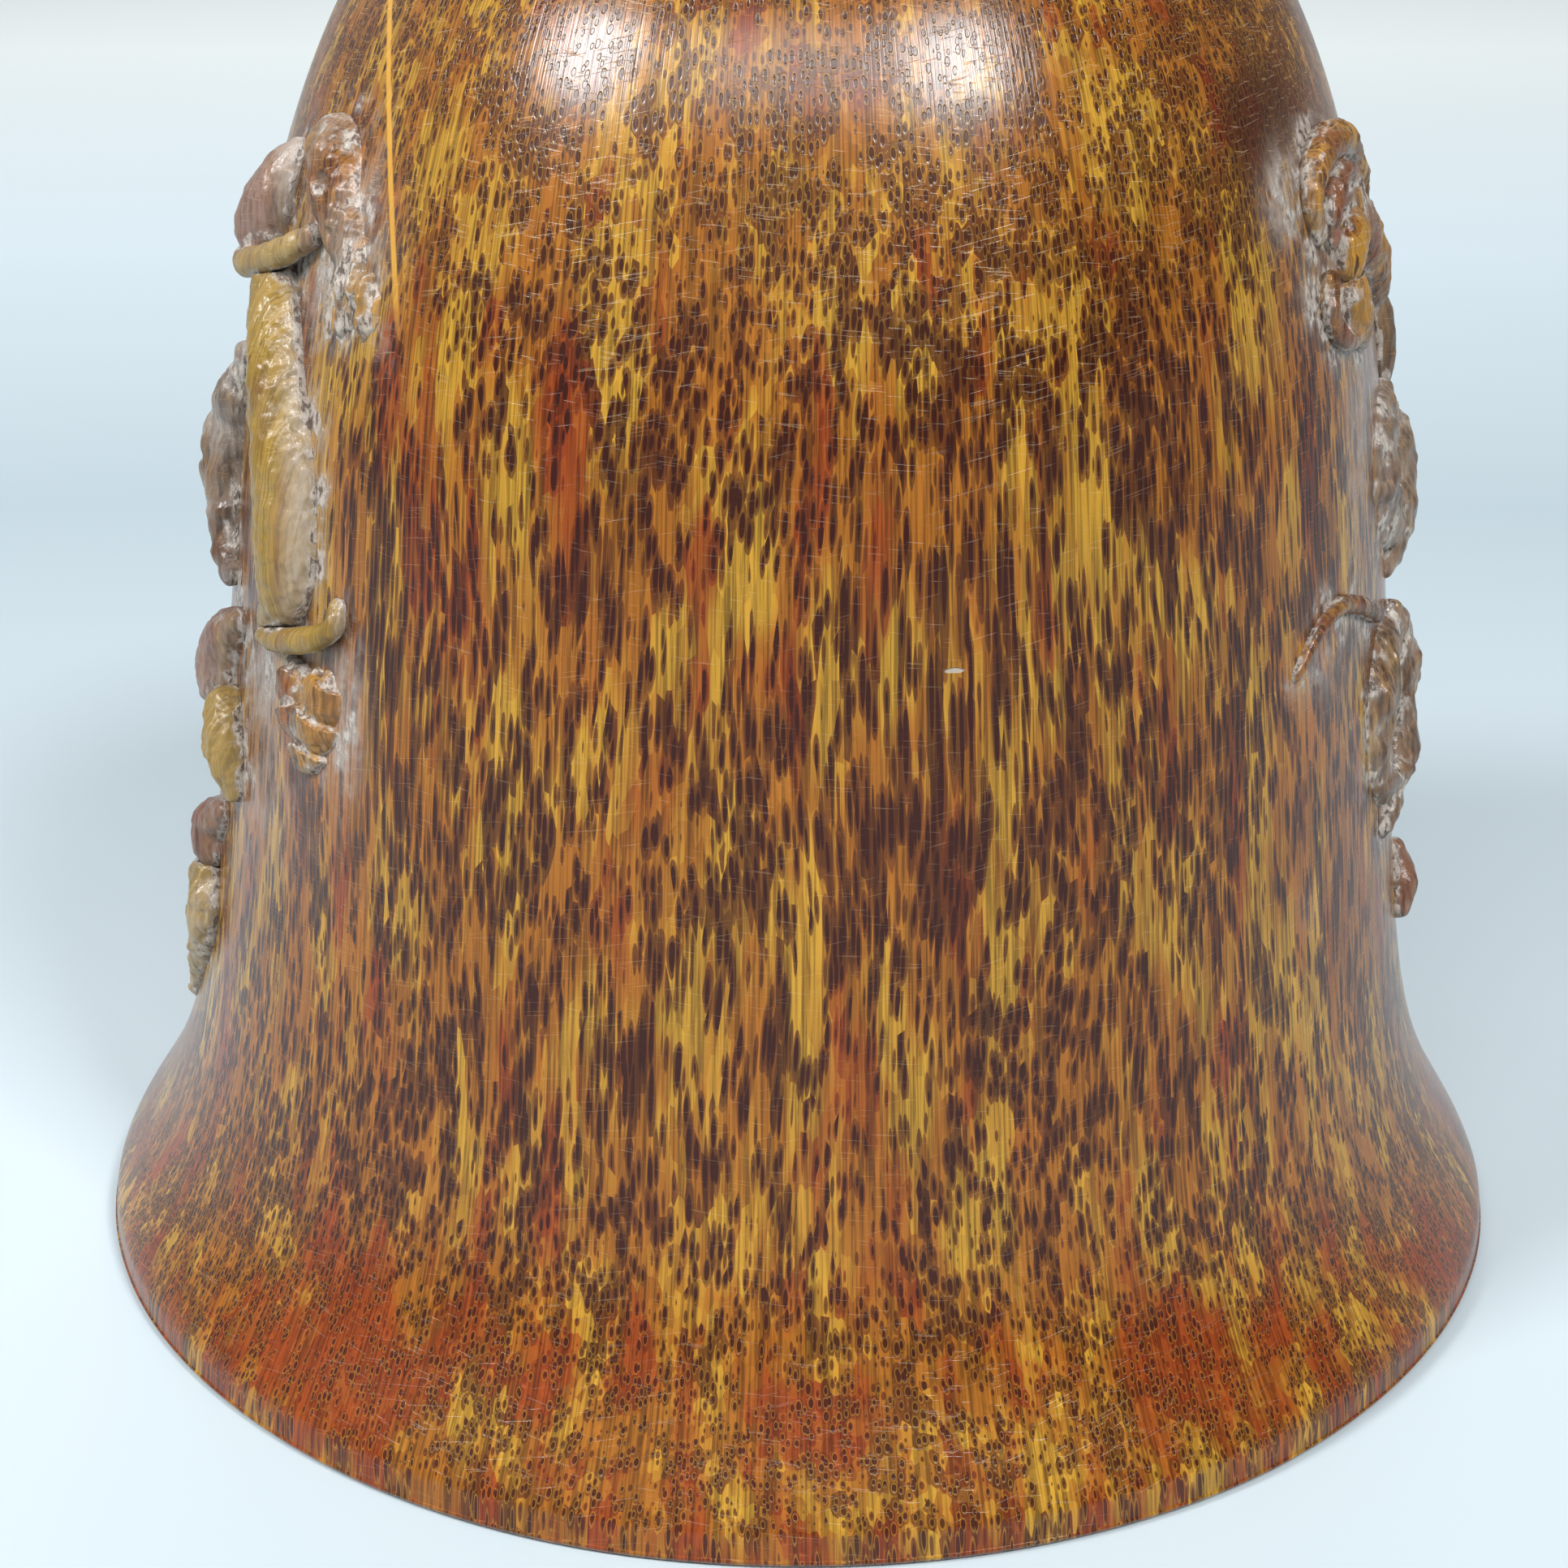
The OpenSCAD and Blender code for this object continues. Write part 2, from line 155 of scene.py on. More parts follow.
def settled(places):
    """Places of the true turned form, moved to where they lie on the real, slightly crooked cup."""
    x, y, z = places[:, 0], places[:, 1], places[:, 2]
    reach = np.maximum(np.hypot(x, y), 0.001)
    azimuth = np.degrees(np.arctan2(y, x))
    off = (azimuth - pull_in_azimuth) / pull_in_width
    change = -pull_in * np.exp(-off * off - z / pull_in_height) * np.clip(reach / low_r, 0, 1)
    change += uneven * soft_noise(places, uneven_cell, 5) * np.clip(reach / foot_r - 1, 0, 1)
    grow = 1 + change / reach
    return np.stack([x * grow + lean_share * z, y * grow, z], axis=1)


# The photograph's view of a place, for what is placed one by one

def in_picture(places):
    """Across and down, in the photograph's 1932 x 1932 frame."""
    pitch = math.radians(camera_pitch)
    forward = np.array([0, math.cos(pitch), -math.sin(pitch)])
    upward = np.array([0, math.sin(pitch), math.cos(pitch)])
    seen = places - np.array(camera_place)
    far = seen @ forward
    focal = lens_mm / sensor_mm * picture_size
    return picture_size / 2 + focal * seen[:, 0] / far, picture_size / 2 - focal * (seen @ upward) / far


def colour(written):
    """An sRGB colour, written as hex, as linear values."""
    parts = [int(written[i:i + 2], 16) / 255 for i in (1, 3, 5)]
    return tuple(c / 12.92 if c <= 0.04045 else ((c + 0.055) / 1.055) ** 2.4 for c in parts) + (1,)


def put(tree, kind, *fed, **settings):
    """Adds a node with its settings, and gives its outputs.

    What feeds its sockets comes in their order, or by name in a dict. ("MULTIPLY", a, b) is worked out on the way.
    """
    node = tree.nodes.new(kind)
    for name, value in settings.items():
        setattr(node, name, value)
    named = fed[0] if fed and isinstance(fed[0], dict) else dict(enumerate(fed))
    for socket, value in named.items():
        if isinstance(value, tuple) and isinstance(value[0], str):
            value = put(tree, MATH, *value[1:], operation=value[0])[0]
        if isinstance(value, bpy.types.NodeSocket):
            tree.links.new(value, node.inputs[socket])
        else:
            node.inputs[socket].default_value = value
    return node.outputs


def sockets(tree, way, kinds):
    """Gives a group its inputs or its outputs."""
    for name, kind in kinds.items():
        tree.interface.new_socket(name, in_out=way, socket_type="NodeSocket" + kind)


def emptied(owner):
    """The node tree of a material or a world, with nothing in it yet."""
    owner.use_nodes = True
    owner.node_tree.nodes.clear()
    return owner.node_tree


def shown_object(name, data):
    """A new object in the scene."""
    made = bpy.data.objects.new(name, data)
    bpy.context.scene.collection.objects.link(made)
    return made


# Turned pieces, made by a tree that turns an outline

def turning_tree():
    """A tree that turns an outline about the cup's axis and closes it."""
    tree = bpy.data.node_groups.new("Turn an outline", "GeometryNodeTree")
    sockets(tree, "INPUT", {"Outline": "Geometry", "Segments": "Int", "Closing distance": "Float", "Horn": "Material"})
    sockets(tree, "OUTPUT", {"Turned": "Geometry"})
    add = functools.partial(put, tree)
    given = add("NodeGroupInput")
    outline, around = given["Outline"], given["Segments"]
    rows = add("GeometryNodeAttributeDomainSize", outline, component="MESH")["Point Count"]
    shape = add("GeometryNodeMeshGrid", 1.0, 1.0, ("ADD", around, 1.0), rows)["Mesh"]
    index = add("GeometryNodeInputIndex")[0]
    turn = ("DIVIDE", ("FLOOR", ("DIVIDE", index, rows)), around)
    sample = add("GeometryNodeSampleIndex", {
        "Geometry": outline, "Value": add("GeometryNodeInputPosition")[0], "Index": ("MODULO", index, rows)},
        data_type="FLOAT_VECTOR", domain="POINT")["Value"]
    turned = add("ShaderNodeVectorRotate", {"Vector": sample, "Angle": ("MULTIPLY", turn, math.tau)},
                 rotation_type="Z_AXIS")[0]
    shape = add("GeometryNodeSetPosition", {"Geometry": shape, "Position": turned})[0]
    shape = add("GeometryNodeMergeByDistance", {"Geometry": shape, "Distance": given["Closing distance"]})[0]
    shape = add("GeometryNodeSetShadeSmooth", shape)[0]
    shape = add("GeometryNodeRealizeInstances", shape)[0]
    shape = add("GeometryNodeSetMaterial", {"Geometry": shape, "Material": given["Horn"]})[0]
    add("NodeGroupOutput", shape)
    return tree


def turned_mesh(tree, name, outline, horn):
    """The outline turned about the axis, as a plain mesh."""
    points = [(r * MM, 0, z * MM) for r, z in outline]
    line = bpy.data.meshes.new(name + "_outline")
    line.from_pydata(points, [(i, i + 1) for i in range(len(points) - 1)], [])
    blank = shown_object(name + "_outline", line)
    turning = blank.modifiers.new("turned", "NODES")
    turning.node_group = tree
    keys = {item.name: item.identifier for item in tree.interface.items_tree if item.in_out == "INPUT"}
    turning[keys["Segments"]] = segments
    turning[keys["Closing distance"]] = closing_mm * MM
    turning[keys["Horn"]] = horn
    found = blank.evaluated_get(bpy.context.evaluated_depsgraph_get())
    mesh = bpy.data.meshes.new_from_object(found)
    mesh.name = name
    blank.modifiers.remove(turning)
    bpy.data.objects.remove(blank)
    return mesh


def point_values(mesh, kind):
    """The place or the normal of each point of a mesh, a row each."""
    found = np.zeros(len(mesh.vertices) * 3)
    mesh.vertices.foreach_get(kind, found)
    return found.reshape(-1, 3)


def quarter(r, z, size, first, last, steps=4):
    """Points of a small rounded edge about the centre r, z."""
    turns = np.radians(np.linspace(first, last, steps + 1))
    return [(r + size * math.cos(t), z + size * math.sin(t)) for t in turns]


def crowded(first, last, steps):
    """Heights that crowd towards both ends of a stretch."""
    return first + (last - first) * (1 - np.cos(np.linspace(0, math.pi, steps + 1))) / 2


def wall_outline():
    """Outside, foot ring, seat of the disc, floor and inside, back to the mouth."""
    line = quarter(mouth_r - lip_round, lip_round, lip_round, -90, 0, 5)
    line += [(float(wall_r(z)), float(z)) for z in crowded(lip_round, height, 110)[1:]]
    line += quarter(disc_r + edge_round, height - edge_round, edge_round, 90, 180)
    line += [(disc_r, (height + step_z) / 2)]
    line += quarter(disc_r - edge_round, step_z + edge_round, edge_round, 0, -90)
    line += quarter(disc_inner_r + edge_round, step_z - edge_round, edge_round, 90, 180)
    line += quarter(disc_inner_r + edge_round, cavity_h + edge_round, edge_round, 180, 270)
    line += [(r, cavity_h) for r in np.linspace(disc_inner_r + 1, floor_r, 4)]
    line += [(float(inside_r(z)), float(z)) for z in crowded(cavity_h, lip_round, 80)[1:]]
    line += quarter(float(inside_r(lip_round)) + lip_round, lip_round, lip_round, 180, 270, 5)
    line += [(r, 0) for r in np.linspace(float(inside_r(lip_round)) + lip_round, mouth_r - lip_round, 4)[1:]]
    return line


def disc_outline():
    """The stepped disc, from the middle of its underside out and up to the middle of its top."""
    wide, narrow = disc_r - glue_gap, disc_inner_r - glue_gap
    top = step_z + disc_step_t
    line = [(r, cavity_h) for r in np.linspace(0, narrow - edge_round, 14)]
    line += quarter(narrow - edge_round, cavity_h + edge_round, edge_round, -90, 0)
    line += [(narrow, step_z)]
    line += quarter(wide - edge_round, step_z + edge_round, edge_round, -90, 0)
    line += quarter(wide - edge_round, top - edge_round, edge_round, 0, 90)
    line += [(r, top) for r in np.linspace(wide - edge_round, 0, 20)[1:]]
    return line


# Places of the carved strands: azimuth, height share, radius share, lift share
routes = {
    "upper_cap": [(202.5, .824, .3, 0), (201.5, .808, .62, 0), (200.5, .788, .85, 0), (199.5, .772, .86, 0)],
    "upper_lip": [(198, .75, .26, .45), (204, .755, .32, .6), (209, .765, .32, .5), (214, .781, .26, .2)],
    "knot": [(211, .84, .45, -.05), (214, .822, .95, -.38), (216.5, .8, .8, -.3), (219.5, .78, .62, -.28),
        (221.5, .757, .5, -.22), (221, .735, .36, -.12)],
    "knot_foot": [(221.5, .757, .34, -.1), (224, .752, .44, -.18), (224.5, .736, .34, -.12)],
    "long_stem": [(208, .742, .6, .15), (210.5, .715, .68, .2), (213, .677, .72, .2), (215.5, .63, .78, .18),
        (216.5, .578, .76, .15), (216, .547, .6, .1), (213, .529, .4, .05)],
    "left_rock": [(196, .68, .4, 0), (193, .645, .7, 0), (192, .605, .84, 0), (193, .565, .76, 0), (197, .53, .4, 0)],
    "left_far_rock": [(190, .622, .7, 0), (184, .6, .86, 0), (177, .618, .8, 0), (170, .588, .84, 0),
        (163, .56, .5, 0)],
    "left_rock_foot": [(172, .6, .6, 0), (178, .582, .76, 0), (185, .596, .56, 0)],
    "middle_cap": [(203, .504, .3, .1), (200, .489, .6, .05), (198, .468, .8, 0), (198, .45, .78, 0)],
    "middle_column": [(202, .44, .5, .2), (203, .424, .58, .2), (204, .405, .54, .15), (205, .387, .34, .05)],
    "cuff": [(224, .556, .2, .05), (224, .542, .24, .2), (221, .531, .28, .3), (217, .523, .28, .35),
        (213, .518, .2, .3)],
    "bud": [(217.5, .499, .5, -.1), (218.3, .484, .75, -.28), (219.3, .466, .72, -.28), (220.5, .446, .4, -.1)],
    "bud_right": [(222.6, .5, .45, -.1), (222, .485, .72, -.27), (221.4, .467, .7, -.25), (220.5, .446, .4, -.1)],
    "lower_cap": [(200, .354, .26, 0), (198, .344, .48, 0), (196, .331, .64, 0), (196, .318, .62, 0)],
    "lower_column": [(196, .293, .46, .15), (197, .272, .52, .15), (196, .244, .46, .1), (192, .207, .38, 0),
        (187, .162, .26, -.05)],
    "cloud_body": [(328, .795, .55, -.38), (332, .8, .7, -.45), (336, .79, .85, -.42), (339, .775, .85, -.34),
        (342, .76, .75, -.2), (345, .742, .62, -.08), (347, .722, .4, 0)],
    "cloud_outer": [(326.5, .78, .2, .05), (325.5, .8, .24, .15), (327, .822, .32, .22), (331.5, .834, .4, .22),
        (336.5, .832, .4, .2), (341, .82, .34, .15), (345, .8, .3, .1), (345, .78, .28, .05), (342, .76, .25, 0)],
    "cloud_middle": [(329, .775, .2, .1), (328.5, .795, .26, .22), (331, .811, .28, .28), (335, .813, .28, .25),
        (338.5, .801, .26, .18), (339, .775, .22, .1)],
    "cloud_inner": [(336, .79, .35, .15), (335, .778, .45, .08), (333.5, .765, .52, .03), (333, .755, .42, 0)],
    "small_cloud": [(333.5, .742, .45, -.02), (333, .727, .55, -.08), (333.5, .713, .4, -.02), (336, .704, .25, 0)],
    "small_cloud_rim": [(327, .752, .2, .1), (326, .735, .24, .12), (327.5, .718, .24, .1), (330.5, .709, .22, .06),
        (333.5, .713, .3, 0)],
    "right_strip": [(354, .703, .36, .1), (354, .683, .4, .12), (354, .664, .38, .1), (354, .648, .28, .05)],
    "right_rock": [(352, .64, .4, 0), (351, .618, .62, 0), (350, .59, .8, 0), (349, .56, .72, 0),
        (346, .525, .35, 0)],
    "right_near_rock": [(351, .618, .5, -.05), (346, .634, .7, -.3), (342, .622, .95, -.52), (341.5, .6, 1.0, -.55),
        (342, .575, .95, -.52), (345.5, .556, .7, -.3), (349, .56, .45, 0)],
    "right_far_rock": [(353, .6, .7, 0), (360, .58, .84, 0), (367, .6, .78, 0), (374, .57, .8, 0),
        (380, .545, .46, 0)],
    "right_rock_foot": [(371, .586, .6, 0), (366, .57, .74, 0), (360, .586, .56, 0)],
    "right_ridge": [(317, .508, .14, 0), (320.5, .53, .18, .03), (325, .541, .2, .05), (330, .531, .22, .05),
        (335, .515, .22, .05)],
    "right_crag": [(344, .492, .35, 0), (346, .474, .68, 0), (346, .45, .82, 0), (344, .423, .7, 0),
        (343, .398, .74, 0), (340, .373, .5, 0), (337, .35, .3, 0)],
    "right_near_crag": [(346, .474, .5, -.05), (340.5, .478, .8, -.35), (337, .46, 1.0, -.55), (336, .435, 1.0, -.56),
        (335.5, .41, .9, -.5), (336.5, .388, .65, -.28), (340, .373, .45, -.02)],
    "right_far_crag": [(349, .44, .7, 0), (356, .418, .84, 0), (363, .432, .76, 0), (370, .398, .8, 0),
        (377, .372, .46, 0)],
    "right_knob": [(350, .292, .26, .05), (350, .28, .36, .1), (349, .266, .42, .15), (348, .252, .34, .05)],
    "back_rock": [(26, .3, .5, 0), (36, .335, .85, 0), (48, .3, .95, 0), (61, .34, .9, 0), (76, .285, .85, 0),
        (93, .255, .8, 0), (110, .268, .8, 0), (124, .235, .5, 0)],
    "back_rock_top": [(37, .335, .6, 0), (43, .361, .82, 0), (50, .335, .76, 0), (57, .315, .6, 0)],
    "back_stem": [(62, .378, .6, .1), (72, .44, .72, .2), (84, .5, .78, .22), (96, .56, .78, .22),
        (108, .615, .74, .2), (117, .672, .66, .2)],
    "back_cap": [(101, .722, .5, 0), (109, .735, .85, 0), (120, .742, 1.0, 0), (131, .735, .85, 0),
        (139, .722, .5, 0)],
    "back_lip": [(100, .737, .24, .3), (109, .735, .3, .5), (120, .734, .32, .6), (131, .735, .3, .5),
        (140, .737, .24, .3)],
    "small_cap": [(112, .42, .42, 0), (119, .43, .76, 0), (127, .432, .82, 0), (135, .422, .5, 0)],
    "small_stem": [(124, .388, .46, .15), (123, .35, .5, .15), (120, .31, .48, .1), (114, .272, .44, .05)],
    "cloud_tail": [(55, .628, .34, .25), (66, .618, .42, .2), (77, .63, .38, .2), (87, .656, .26, .1)],
}

# How far some strands lie above the places given, as a share of the carving's stand-out
raised = {"left_rock_foot": -1.2, "right_rock_foot": -1.2, "back_rock_top": 1.16, "back_lip": -0.85}

# The cloud scroll: azimuth, height share, angle where the band starts, hand, width
scrolls = {"back_scroll": (55, .680, 120, 1, back_scroll_d)}
cloud_turns = 1.6
cloud_eye_share = 0.2
cloud_band_share = 0.34
cloud_lift_share = 0.42
cloud_thin_share = 0.7
cloud_steps = 18
carve_steps = 4


def cloud_route(azimuth, up, start, hand, wide):
    """A flat spiral on the wall, from its outer end in to its eye."""
    count = math.ceil(cloud_turns * cloud_steps)
    route = []
    for i in range(count + 1):
        t = i / count
        reach = wide / 2 * (1 - (1 - cloud_eye_share) * t)
        turn = math.radians(start + hand * 360 * cloud_turns * t)
        route.append((azimuth + math.degrees(reach * math.cos(turn) / float(wall_r(up * height))),
                      up + reach * math.sin(turn) / height,
                      cloud_band_share * (1 - (1 - cloud_thin_share) * t),
                      cloud_lift_share))
    return route


def smooth_route(route):
    """A smooth curve through a few places."""
    given = np.array(route, float)
    last = len(given) - 1
    found = []
    for i in range(last):
        a, b, c, d = given[max(i - 1, 0)], given[i], given[i + 1], given[min(i + 2, last)]
        for k in range(carve_steps):
            t = k / carve_steps
            found.append(b + (c - a) * t / 2 + (2 * a - 5 * b + 4 * c - d) * t * t / 2
                         + (3 * b - a - 3 * c + d) * t ** 3 / 2)
    found.append(given[last])
    return np.array(found)


def on_wall(azimuth, z, lift):
    """The place at an azimuth and a height, lifted off the wall."""
    reach = wall_r(z) + lift
    turn = np.radians(azimuth)
    return np.stack(np.broadcast_arrays(reach * np.cos(turn), reach * np.sin(turn), z), axis=-1)


def balls_of(name):
    """The balls of a strand, in millimetres: azimuth, height, x, y, z and radius in each row."""
    if name in scrolls:
        route = np.array(cloud_route(*scrolls[name]))
    else:
        route = smooth_route(routes[name])
        route[:, 1] += raised.get(name, 0) * relief_h / height
    z = route[:, 1] * height
    places = on_wall(route[:, 0], z, route[:, 3] * relief_h)
    return np.column_stack([route[:, 0], z, places, route[:, 2] * relief_h])


strand_balls = {name: balls_of(name) for name in [*routes, *scrolls]}


def stick(places, one, other):
    """Distance to the stick that joins two balls."""
    start, along = one[2:5], other[2:5] - one[2:5]
    t = np.clip(((places - start) @ along) / max(along @ along, 1e-6), 0, 1)
    return np.linalg.norm(places - start - t[..., None] * along, axis=-1) - (one[5] + (other[5] - one[5]) * t)


def distance_to(places, names, reach):
    """Distance from loose places to some strands, up to a reach."""
    found = np.full(len(places), float(reach))
    for name in names:
        balls = strand_balls[name]
        for one, other in zip(balls[:-1], balls[1:]):
            middle = (one[2:5] + other[2:5]) / 2
            room = np.linalg.norm(one[2:5] - other[2:5]) / 2 + max(one[5], other[5]) + reach
            near = np.nonzero((np.abs(places - middle) < room).all(axis=1))[0]
            if len(near):
                found[near] = np.minimum(found[near], stick(places[near], one, other))
    return found


# Carved pieces: a field of distances on the wall, skinned

skin_step = 0.16
field_reach = 1.4
seat_depth = 0.35


class Carving:
    """A patch of the wall's outside, in which a carved piece is cut."""

    def __init__(self, names, step):
        balls = np.vstack([strand_balls[name] for name in names])
        margin = balls[:, 5].max() + 1.0
        z0, z1 = balls[:, 1].min() - margin, balls[:, 1].max() + margin
        turn = math.degrees(margin / float(wall_r(balls[:, 1].mean())))
        a0, a1 = balls[:, 0].min() - turn, balls[:, 0].max() + turn
        top = np.hypot(balls[:, 2], balls[:, 3]) - wall_r(balls[:, 1]) + balls[:, 5]
        around = math.degrees(step / float(wall_r((z0 + z1) / 2)))
        self.steps = np.array([around, step, step])
        self.low = np.array([a0, z0, -seat_depth - step])
        self.azimuths = np.arange(a0, a1, around)
        self.heights = np.arange(z0, z1, step)
        self.lifts = np.arange(-seat_depth - step, top.max() + 1.0, step)
        self.grid = np.stack(np.meshgrid(self.azimuths, self.heights, self.lifts, indexing="ij"), axis=-1)
        self.places = on_wall(self.grid[..., 0], self.grid[..., 1], self.grid[..., 2])

    def strand(self, name):
        """Distance to one strand, up to the field's reach."""
        field = np.full(self.places.shape[:3], field_reach)
        balls = strand_balls[name]
        for one, other in zip(balls[:-1], balls[1:]):
            room = max(one[5], other[5]) + field_reach
            turn = math.degrees(room / min(wall_r(one[1]), wall_r(other[1])))
            i = np.searchsorted(self.azimuths, [min(one[0], other[0]) - turn, max(one[0], other[0]) + turn])
            j = np.searchsorted(self.heights, [min(one[1], other[1]) - room, max(one[1], other[1]) + room])
            part = (slice(*i), slice(*j))
            field[part] = np.minimum(field[part], stick(self.places[part], one, other))
        return field

    def ball(self, azimuth, up, radius, lift):
        """Distance to one ball, for a hollow or a lump."""
        centre = on_wall(np.array(azimuth), np.array(up * height), lift)
        return np.linalg.norm(self.places - centre, axis=-1) - radius


def joined(one, other, blend):
    """Two forms joined with a soft crease."""
    mix = np.clip(0.5 + 0.5 * (other - one) / blend, 0, 1)
    return other + (one - other) * mix - blend * mix * (1 - mix)


def cut_from(form, tool, blend):
    """A form with a tool's hollow cut softly out of it."""
    return -joined(-form, tool, blend)


def skinned(field, low, steps):
    """The skin round the places where the field is under zero: one point in each cell that it crosses."""
    field = field.copy()
    for axis in range(3):
        ends = [slice(None)] * 3
        for end in (0, -1):
            ends[axis] = end
            field[tuple(ends)] = np.maximum(field[tuple(ends)], 0.01)
    inside = field < 0
    cells = np.array(field.shape) - 1
    total = np.zeros((cells.prod(), 3))
    count = np.zeros(cells.prod())
    edges = []
    for axis in range(3):
        one = [slice(None)] * 3
        other = [slice(None)] * 3
        one[axis], other[axis] = slice(0, -1), slice(1, None)
        one, other = tuple(one), tuple(other)
        crossed = np.argwhere(inside[one] != inside[other])
        if not len(crossed):
            continue
        a = field[one][tuple(crossed.T)]
        b = field[other][tuple(crossed.T)]
        point = crossed.astype(float)
        point[:, axis] += a / (a - b)
        across, up = (axis + 1) % 3, (axis + 2) % 3
        corners = []
        for left, down in ((1, 1), (0, 1), (0, 0), (1, 0)):
            cell = crossed.copy()
            cell[:, across] -= left
            cell[:, up] -= down
            flat = (cell[:, 0] * cells[1] + cell[:, 1]) * cells[2] + cell[:, 2]
            corners.append(flat)
            count += np.bincount(flat, minlength=len(count))
            for k in range(3):
                total[:, k] += np.bincount(flat, point[:, k], minlength=len(count))
        quad = np.stack(corners, axis=1)
        outward = a < 0
        edges.append(np.where(outward[:, None], quad, quad[:, ::-1]))
    used = np.nonzero(count)[0]
    number = np.full(len(count), -1)
    number[used] = np.arange(len(used))
    return low + steps * total[used] / count[used, None], number[np.vstack(edges)]


def skin_normals(places, quads):
    """Outward direction of the skin at each of its points."""
    a, b, c, d = (places[quads[:, i]] for i in range(4))
    face = np.cross(c - a, d - b)
    total = np.zeros_like(places)
    for i in range(4):
        for k in range(3):
            total[:, k] += np.bincount(quads[:, i], face[:, k], minlength=len(places))
    return total / np.maximum(np.linalg.norm(total, axis=1, keepdims=True), 1e-9)


def largest_only(places, quads):
    """Drops crumbs that a cut has left loose."""
    label = np.arange(len(places))
    while True:
        lowest = label[quads].min(axis=1)
        new = label.copy()
        for i in range(4):
            np.minimum.at(new, quads[:, i], lowest)
        new = new[new]
        if (new == label).all():
            break
        label = new
    names, sizes = np.unique(label, return_counts=True)
    kept = label == names[sizes.argmax()]
    number = np.cumsum(kept) - 1
    return places[kept], number[quads[kept[quads[:, 0]]]]


# Shares of dark, red and yellow
tones = {"amber": (0, 0, 0), "dark": (1, 0, 0), "red": (0, 1, 0), "yellow": (0, 0, 1), "brown": (.5, .3, 0),
         "orange": (0, .25, .7)}


def store(mesh, tone, dust, smear):
    """Keeps a colour and two values for each point of a mesh, which the horn's materials read."""
    tone = np.column_stack([tone, np.ones(len(tone))])
    for name, kind, key, values in (("tone", "FLOAT_COLOR", "color", tone), ("dust", "FLOAT", "value", dust),
                                    ("smear", "FLOAT", "value", smear)):
        layer = mesh.attributes.new(name, kind, "POINT").data
        layer.foreach_set(key, np.ascontiguousarray(values, np.float32).ravel())


# Residue fills creases, lies low beside the wall, gathers in blotches and settles where two strands meet
probe = 1.0
crease_dust, least_dust = 1.35, 0.12
low_lift = (1.6, 0.2)
blotch_dust, blotch_edge = 0.5, (0.35, 0.8)
smear_edge = (-0.9, 0.5)
meeting_dust, meeting_mm = 1.1, 0.5
clean_yellow = 0.8
tone_edge = 2.5


def carved(name, node, finish, strands, clear=(), hollows=(), blend=0.3, lumps=0.1, lump=1.4, fibres=0.05,
           shape=None, step=None, dusty=0.5, filmed=0.2, smear=None):
    """A carved piece: its strands with their tones, cut to its neighbours, hollowed and roughened by the knife."""
    carving = Carving([strand for strand, _ in strands], step or skin_step)
    field = None
    for strand, _ in strands:
        found = carving.strand(strand)
        field = found if field is None else joined(field, found, blend)
    if shape:
        field = shape(carving, field)
    for azimuth, up, radius, lift in hollows:
        field = cut_from(field, carving.ball(azimuth, up, radius, lift), 0.2)
    for strand in clear:
        field = np.maximum(field, carve_gap - carving.strand(strand))
    field = np.maximum(field, -seat_depth - carving.grid[..., 2])
    patch, quads = largest_only(*skinned(field, carving.low, carving.steps))
    places = on_wall(patch[:, 0], patch[:, 1], patch[:, 2])
    normals = skin_normals(places, quads)
    free = step_between(0.1, 0.7, patch[:, 2])
    along = places * (1, 1, 0.14)
    rough = lumps * (soft_noise(places, lump, 11) + 0.6 * soft_noise(places, lump * 0.45, 12))
    rough += fibres * soft_noise(along, 0.42, 13) + 0.5 * fibres * soft_noise(places, 0.5, 14)
    places = places + normals * (rough * free)[:, None]
    normals = skin_normals(places, quads)

    lifted = places + normals * probe
    open_room = distance_to(lifted, list(strand_balls), probe)
    off_wall = np.hypot(lifted[:, 0], lifted[:, 1]) - wall_r(lifted[:, 2])
    hollow = 1 - np.clip(np.minimum(open_room, off_wall) / probe, 0, 1)
    spread = 0.5 + 0.5 * soft_noise(places, 1.1, 15)
    low = dusty * spread * step_between(*low_lift, patch[:, 2])
    dust = np.clip(hollow * crease_dust + low - least_dust, 0, 1)
    blotched = dusty * blotch_dust * step_between(*blotch_edge, soft_noise(places, 2.1, 16))
    dust = np.clip(dust + blotched, 0, 1)
    smeared = filmed * step_between(*smear_edge, soft_noise(places, 2.6, 17))
    if smear:
        smeared = np.maximum(smeared, step_between(*smear, in_picture(places)[0]))

    nearest = np.stack([distance_to(places, [strand], 6) for strand, _ in strands])
    if len(strands) > 1:
        first, second = np.sort(nearest, axis=0)[:2]
        dust = np.clip(dust + meeting_dust * dusty * np.exp(-(second - first) / meeting_mm), 0, 1)
    shares = np.exp(-tone_edge * nearest)
    shares = shares / np.maximum(shares.sum(axis=0), 1e-9)
    tone = sum(share[:, None] * np.array(tones[kind]) for share, (_, kind) in zip(shares, strands))
    if len(strands) > 1:
        smeared = smeared * (1 - clean_yellow * tone[:, 2])

    mesh = bpy.data.meshes.new(name)
    mesh.from_pydata((settled(places) * MM).tolist(), [], quads.tolist())
    mesh.polygons.foreach_set("use_smooth", np.ones(len(mesh.polygons), bool))
    mesh.materials.append(carved_horn[finish])
    store(mesh, tone=tone, dust=dust, smear=smeared)
    finished(name, mesh, node)


def finished(name, mesh, node):
    """The finished piece, in place of its node."""
    piece = shown_object(name, mesh)
    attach(piece, "root")
    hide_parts(node)


